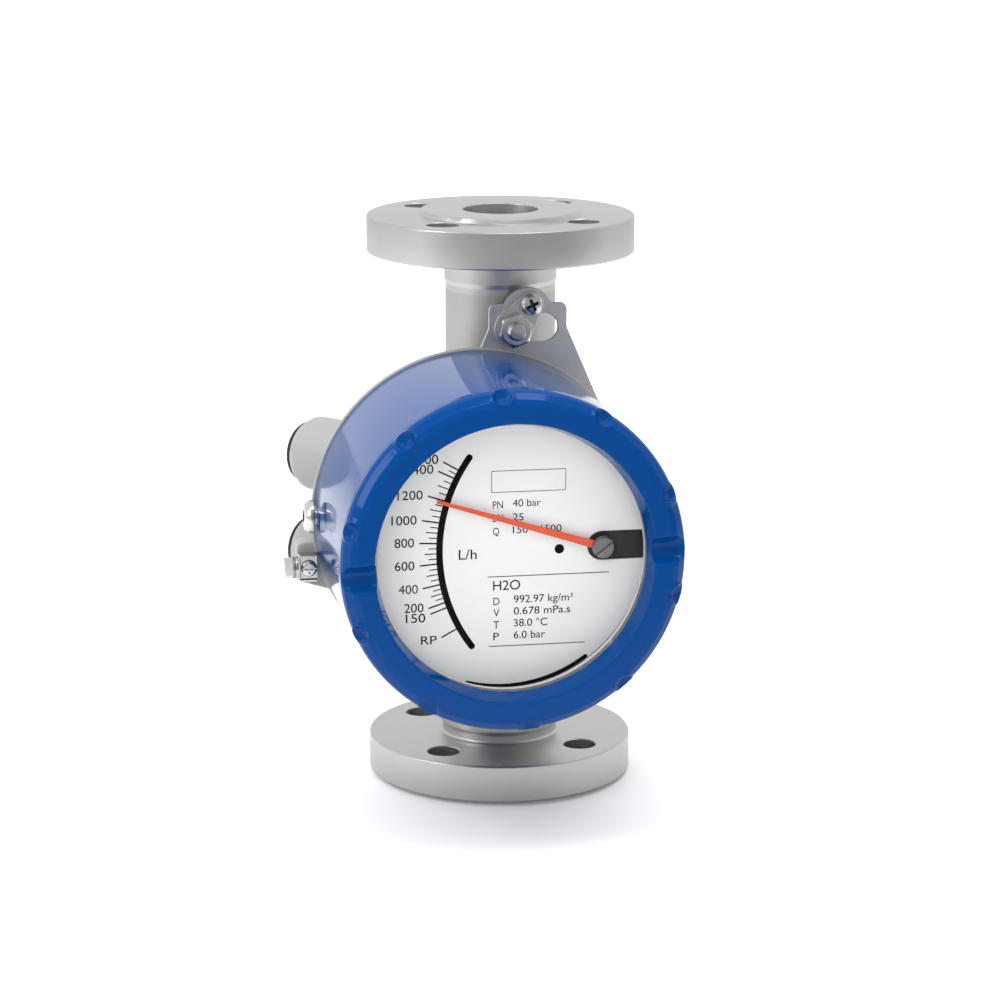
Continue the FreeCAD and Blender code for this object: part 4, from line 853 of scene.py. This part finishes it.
def dented(point):
    """Presses the grooves into the cover's front and the dimples into its sloping shoulder."""
    below = cover_front - point.z
    if below > pressed_depth:
        return point
    radius = math.hypot(point.x, point.y)
    angle = math.degrees(math.atan2(point.y, point.x))
    across = abs(radius * math.sin(math.radians(angle - groove_turn)))
    if across < groove_radius + 1.5:
        floor = math.sqrt(max(groove_radius ** 2 - across ** 2, 0.0)) - max(across - groove_radius, 0.0)
        point.z = cover_front - soft_depth(below, floor, groove_softness)
        below = cover_front - point.z
    pitch = 360.0 / dimple_count
    side = math.radians((angle - dimple_turn) % pitch - pitch / 2) * radius
    slope = (radius - shoulder_radius + below - shoulder_depth) / diagonal
    lift = (radius - shoulder_radius - below + shoulder_depth) / diagonal
    gap = math.hypot(side, slope, 0.5 * lift)
    if gap < dimple_radius + 2.5 and below < 10.0 and radius > 60.0:
        cup = dimple_lip * math.exp(-((gap - dimple_radius - 0.2) / 0.8) ** 2)
        cup -= dimple_depth * max(1.0 - (gap / dimple_radius) ** 2, 0.0)
        push = cup / diagonal
        point.x += point.x / radius * push
        point.y += point.y / radius * push
        point.z = min(point.z + push, cover_front)
    return point


skirt = [(66.3, 34.9), (67.9, 33.3), (70.0, 33.3, 0.4), (69.3, 116.3, 3.0), (70.3, 117.2, 0.8)]
face = [(70.3, 121.0), (69.5, 123.2), (66.6, 126.1), (64.3, 127.0), (57.2, 127.0, 0.8), (54.9, 118.0, 0.3)]
inside = [(60.3, 118.0), (60.3, 110.2), (66.3, 107.2)]


def cover_outline():
    """Section of the cover, fine where the front is pressed and plain elsewhere."""
    rear = eased(skirt)
    front = dense(eased([(70.3, 117.2)] + face + [(55.1, 118.0)]), 0.55)
    front = [point for point in front if point[1] > 117.0 or point[0] < 60.0]
    return [tuple(point) for point in rear + front] + inside


cover = turned("cover_shape", cover_outline(), blue_coat, head_place, cover_steps, dented)
lock_angle = math.radians(178.0)
hole_place = along((head_x, -40.5, head_z), (math.cos(lock_angle), 0.0, math.sin(lock_angle)))
hole_outline = [(0.0, 60.0), (4.05, 60.0), (4.05, 75.0), (0.0, 75.0)]
cut_with(cover, [turned("hole", hole_outline, blue_coat, hole_place, 48)])
shown(cover, "cover", "blue_coat", "cover")

# Lock screw through the cover's skirt: a rounded button head with a hexagon socket.
button = [(0.0, 66.4), (4.0, 66.4, 0.3), (4.0, 70.7), (7.0, 70.7, 0.4), (7.0, 72.6, 1.0), (5.4, 74.6, 1.6),
          (0.0, 75.1)]
lock = turned("lock_screw", button, bright_steel, hole_place, 96)
key = [(0.0, 72.5), (2.9, 72.5), (2.9, 76.0), (0.0, 76.0)]
# The hexagon socket's walls and floor take the near-black painted shade.
cut_with(lock, [turned("key", key, recess_shade, hole_place, 72, six_sided(5.0))])
shown(lock, "cover", "bright_steel", "cover_lock_screw")


# ---------------------------- window
# Flat safety glass, pressed against the cover's lip by a pale plastic ring, with a pale flat seal between
# glass and lip.
# Ring and seal are coloured a mid grey, darker than pale plastic: painted shade at the deep edge round the
# dial.
def clear_glass():
    """Clean glass: mostly let through, with a polished surface."""
    material = bpy.data.materials.new("window_glass")
    clear = {"Base Color": (0.02, 0.02, 0.02, 1.0), "Roughness": 0.02, "Alpha": 0.02,
             "Specular IOR Level": 0.3}
    return shaded(material, empty_tree(material), clear)


dress(["window_glass"], clear_glass())
# Mid grey: painted shade darkening the pale ring and seal at the window's edge.
shaded_pale_plastic = coated("shaded_pale_plastic", (0.50, 0.50, 0.50), (0.55, 0.55, 0.55), 0.6, 0.1, 1500.0, 3e-5)
dress(["window_retainer", "window_seal"], shaded_pale_plastic)


# ---------------------------- dial
# White lacquered aluminium disc, screen printed in black: a scale round the pointer's shaft,
# a data block and a few rules. A slot runs from the shaft to the right edge.
dial_white = coated("dial_white", (0.88, 0.88, 0.88), (0.91, 0.91, 0.91), 0.5, 0.3, 3000.0, 1e-5)
ink = coated("print_black", (0.005, 0.005, 0.005), (0.008, 0.008, 0.008), 0.6, 0.05, 3000.0, 1e-5)
dress(["dial_plate"], dial_white)
dial_low, dial_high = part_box("dial_plate")
shaft_low, shaft_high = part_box("pointer_shaft")
print_y = dial_low[1] - 0.05 * mm
pivot = Vector(((shaft_low[0] + shaft_high[0]) / 2, print_y, (shaft_low[2] + shaft_high[2]) / 2))
band_radius = 67.2
band_width = 2.7
band_ends = (35.2, -36.6)
lower_arc_radius = 57.6
lower_arc_width = 1.7
lower_arc_ends = (-105.5, -54.0)
dot_place = Vector((6.0 * mm, print_y, 124.3 * mm))
dot_radius = 2.0
tick_inner = 67.9
tick_outer = 75.55
middle_tick_outer = 73.3
small_tick_outer = 71.7
# The scale's numbered lines, 1500 to 150: degrees up from straight left of the pointer's shaft.
scale_angles = [29.6, 26.4, 18.07, 10.25, 3.03, -4.11, -11.42, -18.03, -19.96]
spare_angle = 28.0
reference_angle = -28.35
long_tick_width = 0.62
short_tick_width = 0.45


def on_dial(radius, angle):
    """Point on the print at a radius and angle from the pivot, angle up from straight left."""
    turn = math.radians(angle)
    return pivot + Vector((-radius * math.cos(turn), 0.0, radius * math.sin(turn))) * mm


def printed_bands():
    """The thick scale band and the dark arc at the dial's lower edge, both with round ends."""
    bm = bmesh.new()
    centre = Vector(((dial_low[0] + dial_high[0]) / 2, print_y, (dial_low[2] + dial_high[2]) / 2))

    def band(middle, radius, width, first, last):
        steps = 64
        rows = []
        for i in range(steps + 1):
            turn = math.radians(first + (last - first) * i / steps)
            out = Vector((math.cos(turn), 0.0, math.sin(turn)))
            rows.append((bm.verts.new(middle + out * (radius - width / 2) * mm),
                         bm.verts.new(middle + out * (radius + width / 2) * mm)))
        for low, high in zip(rows, rows[1:]):
            bm.faces.new((low[0], low[1], high[1], high[0]))
        for turn in (first, last):
            out = Vector((math.cos(math.radians(turn)), 0.0, math.sin(math.radians(turn))))
            dot(middle + out * radius * mm, width / 2)

    def dot(hub, radius):
        rim = []
        for k in range(32):
            spin = math.tau * k / 32
            rim.append(bm.verts.new(hub + Vector((math.cos(spin), 0.0, math.sin(spin))) * radius * mm))
        bm.faces.new(rim)

    band(pivot, band_radius, band_width, 180.0 - band_ends[0], 180.0 - band_ends[1])
    band(centre, lower_arc_radius, lower_arc_width, *lower_arc_ends)
    dot(dot_place, dot_radius)
    return finished(bm, "print_bands", ink)


def printed_ticks():
    """Every line of the scale: long at the numbers, middling half way, short between."""
    marks = [(angle, tick_outer, long_tick_width) for angle in scale_angles + [reference_angle]]
    marks.append((spare_angle, small_tick_outer, short_tick_width))
    for high, low in zip(scale_angles[1:], scale_angles[2:-1]):
        for step in (1, 2, 3):
            reach = middle_tick_outer if step == 2 else small_tick_outer
            marks.append((high + (low - high) * step / 4, reach, short_tick_width))
    places = []
    for angle, reach, width in marks:
        point = on_dial((tick_inner + reach) / 2, angle) / mm
        places.append((point, (0.0, math.radians(angle), 0.0), (reach - tick_inner, 1.0, width)))
    bar = bpy.data.meshes.new("bar")
    half = 0.5 * mm
    corners = [(-half, 0.0, -half), (half, 0.0, -half), (half, 0.0, half), (-half, 0.0, half)]
    bar.from_pydata(corners, [], [(0, 1, 2, 3)])
    piece = bpy.data.objects.new("bar", bar)
    bpy.context.collection.objects.link(piece)
    return repeated("print_ticks", piece, places, ink)


def letters(text):
    """Flat mesh of a text in the plain built-in face, baseline on X."""
    curve = bpy.data.curves.new("letters", "FONT")
    curve.body = text
    curve.resolution_u = 6
    curve.offset = 0.001 if "4" in text else 0.003  # a bolder 4 closes up
    holder = bpy.data.objects.new("letters", curve)
    bpy.context.collection.objects.link(holder)
    graph = bpy.context.evaluated_depsgraph_get()
    mesh = bpy.data.meshes.new_from_object(holder.evaluated_get(graph))
    bpy.data.objects.remove(holder)
    return mesh


capital = max(vertex.co.y for vertex in letters("H").vertices)


def printed_text(text, left, right, base, height):
    """Text set between two x values on a base line, in millimetres on the dial."""
    mesh = letters(text)
    low = min(vertex.co.x for vertex in mesh.vertices)
    high = max(vertex.co.x for vertex in mesh.vertices)
    wide = (right - left) * mm / (high - low)
    tall = height * mm / capital
    for vertex in mesh.vertices:
        x = left * mm + (vertex.co.x - low) * wide
        vertex.co = (x, print_y, base * mm + vertex.co.y * tall)
    mesh.materials.clear()
    mesh.materials.append(ink)
    return bpy.data.objects.new("print_text", mesh)


def printed_rule(left, right, z, thick):
    """Thin printed line between two x values."""
    mesh = bpy.data.meshes.new("print_rule")
    low = z - thick / 2
    high = z + thick / 2
    corners = [(left, low), (right, low), (right, high), (left, high)]
    mesh.from_pydata([(x * mm, print_y, h * mm) for x, h in corners], [], [(0, 1, 2, 3)])
    mesh.materials.append(ink)
    return bpy.data.objects.new("print_rule", mesh)


def upright_rule(x, low, high, thick):
    """Thin printed upright line."""
    return printed_rule(x - thick / 2, x + thick / 2, (low + high) / 2, high - low)


numbers = [("1500", -54.3, -43.9, 161.7), ("1400", -56.3, -45.9, 157.7), ("1200", -60.6, -50.3, 147.2),
           ("1000", -63.1, -52.8, 136.9), ("800", -61.9, -53.9, 127.5), ("600", -61.8, -53.8, 117.9),
           ("400", -60.3, -52.4, 108.1), ("200", -58.0, -50.1, 100.2), ("150", -57.4, -49.4, 95.9)]
lines_of_text = [(text, left, right, base, 3.7) for text, left, right, base in numbers]
lines_of_text += [
    ("RP", -51.2, -44.7, 86.5, 3.5), ("L/h", -35.6, -28.2, 121.5, 4.1),
    ("PN", -21.6, -17.4, 142.2, 3.0), ("40 bar", -13.4, -1.8, 142.7, 3.0),
    ("DN", -21.6, -17.4, 136.7, 3.0), ("25", -13.3, -8.9, 136.9, 3.0),
    ("Q", -21.5, -19.0, 131.2, 3.0), ("150 - 1500", -13.3, 6.9, 131.6, 3.0),
    ("H2O", -21.4, -10.2, 108.0, 4.0),
    ("D", -21.3, -18.7, 101.8, 3.1), ("992.97 kg/m³", -12.8, 11.7, 102.4, 3.1),
    ("V", -21.3, -18.7, 96.9, 3.1), ("0.678 mPa.s", -12.8, 10.7, 97.4, 3.1),
    ("T", -21.3, -18.9, 91.9, 3.1), ("38.0 °C", -12.8, 1.2, 92.4, 3.1),
    ("P", -21.3, -18.9, 87.0, 3.1), ("6.0 bar", -12.8, 0.3, 87.3, 3.1),
]
prints = [printed_text(*line) for line in lines_of_text]
prints += [printed_rule(-23.6, 26.8, 113.7, 0.35), printed_rule(-23.2, 16.9, 84.4, 0.35)]
prints += [printed_rule(-22.1, 8.5, 157.7, 0.25), printed_rule(-22.1, 8.5, 148.9, 0.25)]
prints += [upright_rule(-22.1, 148.9, 157.7, 0.25), upright_rule(8.5, 148.9, 157.7, 0.25)]
prints += [printed_bands(), printed_ticks()]


shown(joined(prints, "dial_print"), "meter", "black_plastic")


# ---------------------------- dial holder and works
# Dark moulded disc on four steel pillars. Behind it a bent aluminium strap carries the pointer's
# shaft in brass bearings, with its brake disc, its counterweight and the arm of its magnet.
dark_plastic = coated("dark_plastic", (0.030, 0.030, 0.033), (0.05, 0.05, 0.054), 0.38, 0.3, 1200.0, 4e-5)
sheet_aluminium = sheet_metal("sheet_aluminium", (0.55, 0.56, 0.57), (0.72, 0.73, 0.74), 0.28, 0.42)
brass = turned_metal("bearing_brass", (0.55, 0.38, 0.14), (0.80, 0.60, 0.28), 0.18, 0.30, 6000.0, 2e-5)
dress(["dial_holder"], dark_plastic)
dress(["holder_pillars", "strap_screws", "pointer_shaft"], bright_steel)
dress(["bearing_bracket", "follower_arm", "brake_disc"], sheet_aluminium)
dress(["front_bearing", "rear_bearing", "pointer_collar", "counterweight"], brass)


# ---------------------------- pointer
# Thin aluminium blade in matt orange-red lacquer, clamped on the shaft under a slotted cap of
# turned grey metal.
pointer_red = coated("pointer_red", (0.70, 0.118, 0.062), (0.76, 0.130, 0.070), 0.5, 0.10, 3000.0, 1e-5)
cap_grey = turned_metal("cap_grey", (0.20, 0.20, 0.20), (0.34, 0.34, 0.33), 0.32, 0.45, 3000.0, 3e-5,
                        pivot[:], (math.radians(90.0), 0.0, 0.0))
pointer_length = 72.0
eye_reach = 4.5
packed_root = 1.7
packed_tip = 0.35
blade_root = 1.25
blade_tip = 0.7

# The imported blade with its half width, root to tip, changed to what the real one has.
blade = bmesh.new()
blade.from_mesh(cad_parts["pointer"].data)
bmesh.ops.remove_doubles(blade, verts=blade.verts, dist=1e-6)
pointer_angle = math.radians(17.5)
lengthways = Vector((-math.cos(pointer_angle), 0.0, math.sin(pointer_angle)))
sideways = Vector((math.sin(pointer_angle), 0.0, math.cos(pointer_angle)))
for vertex in blade.verts:
    out = (vertex.co - pivot).dot(lengthways) / mm
    if out > eye_reach:
        share = min(out / pointer_length, 1.0)
        packed = packed_root + (packed_tip - packed_root) * share
        growth = (blade_root + (blade_tip - blade_root) * share) / packed - 1.0
        side = (vertex.co - pivot).dot(sideways)
        vertex.co += sideways * side * growth
shown(finished(blade, "pointer_blade", pointer_red), "pointer", "pointer_red", "pointer")
cap_place = facing_front(pivot.x / mm, 0.0, pivot.z / mm)
cap_points = [(0.0, 103.7), (4.65, 103.7), (4.65, 105.1, 0.35), (4.1, 105.5, 0.2), (0.0, 105.5)]
cap = turned("pointer_cap", cap_points, cap_grey, cap_place, 96)
slot = block((-5.5, -0.55, 104.8), (5.5, 0.55, 106.0), cap_grey)
slot.data.transform(cap_place @ Matrix.Rotation(math.radians(38.0), 4, "Z"))
shown(cut_with(cap, [slot]), "pointer", "hub_grey", "pointer_hub")
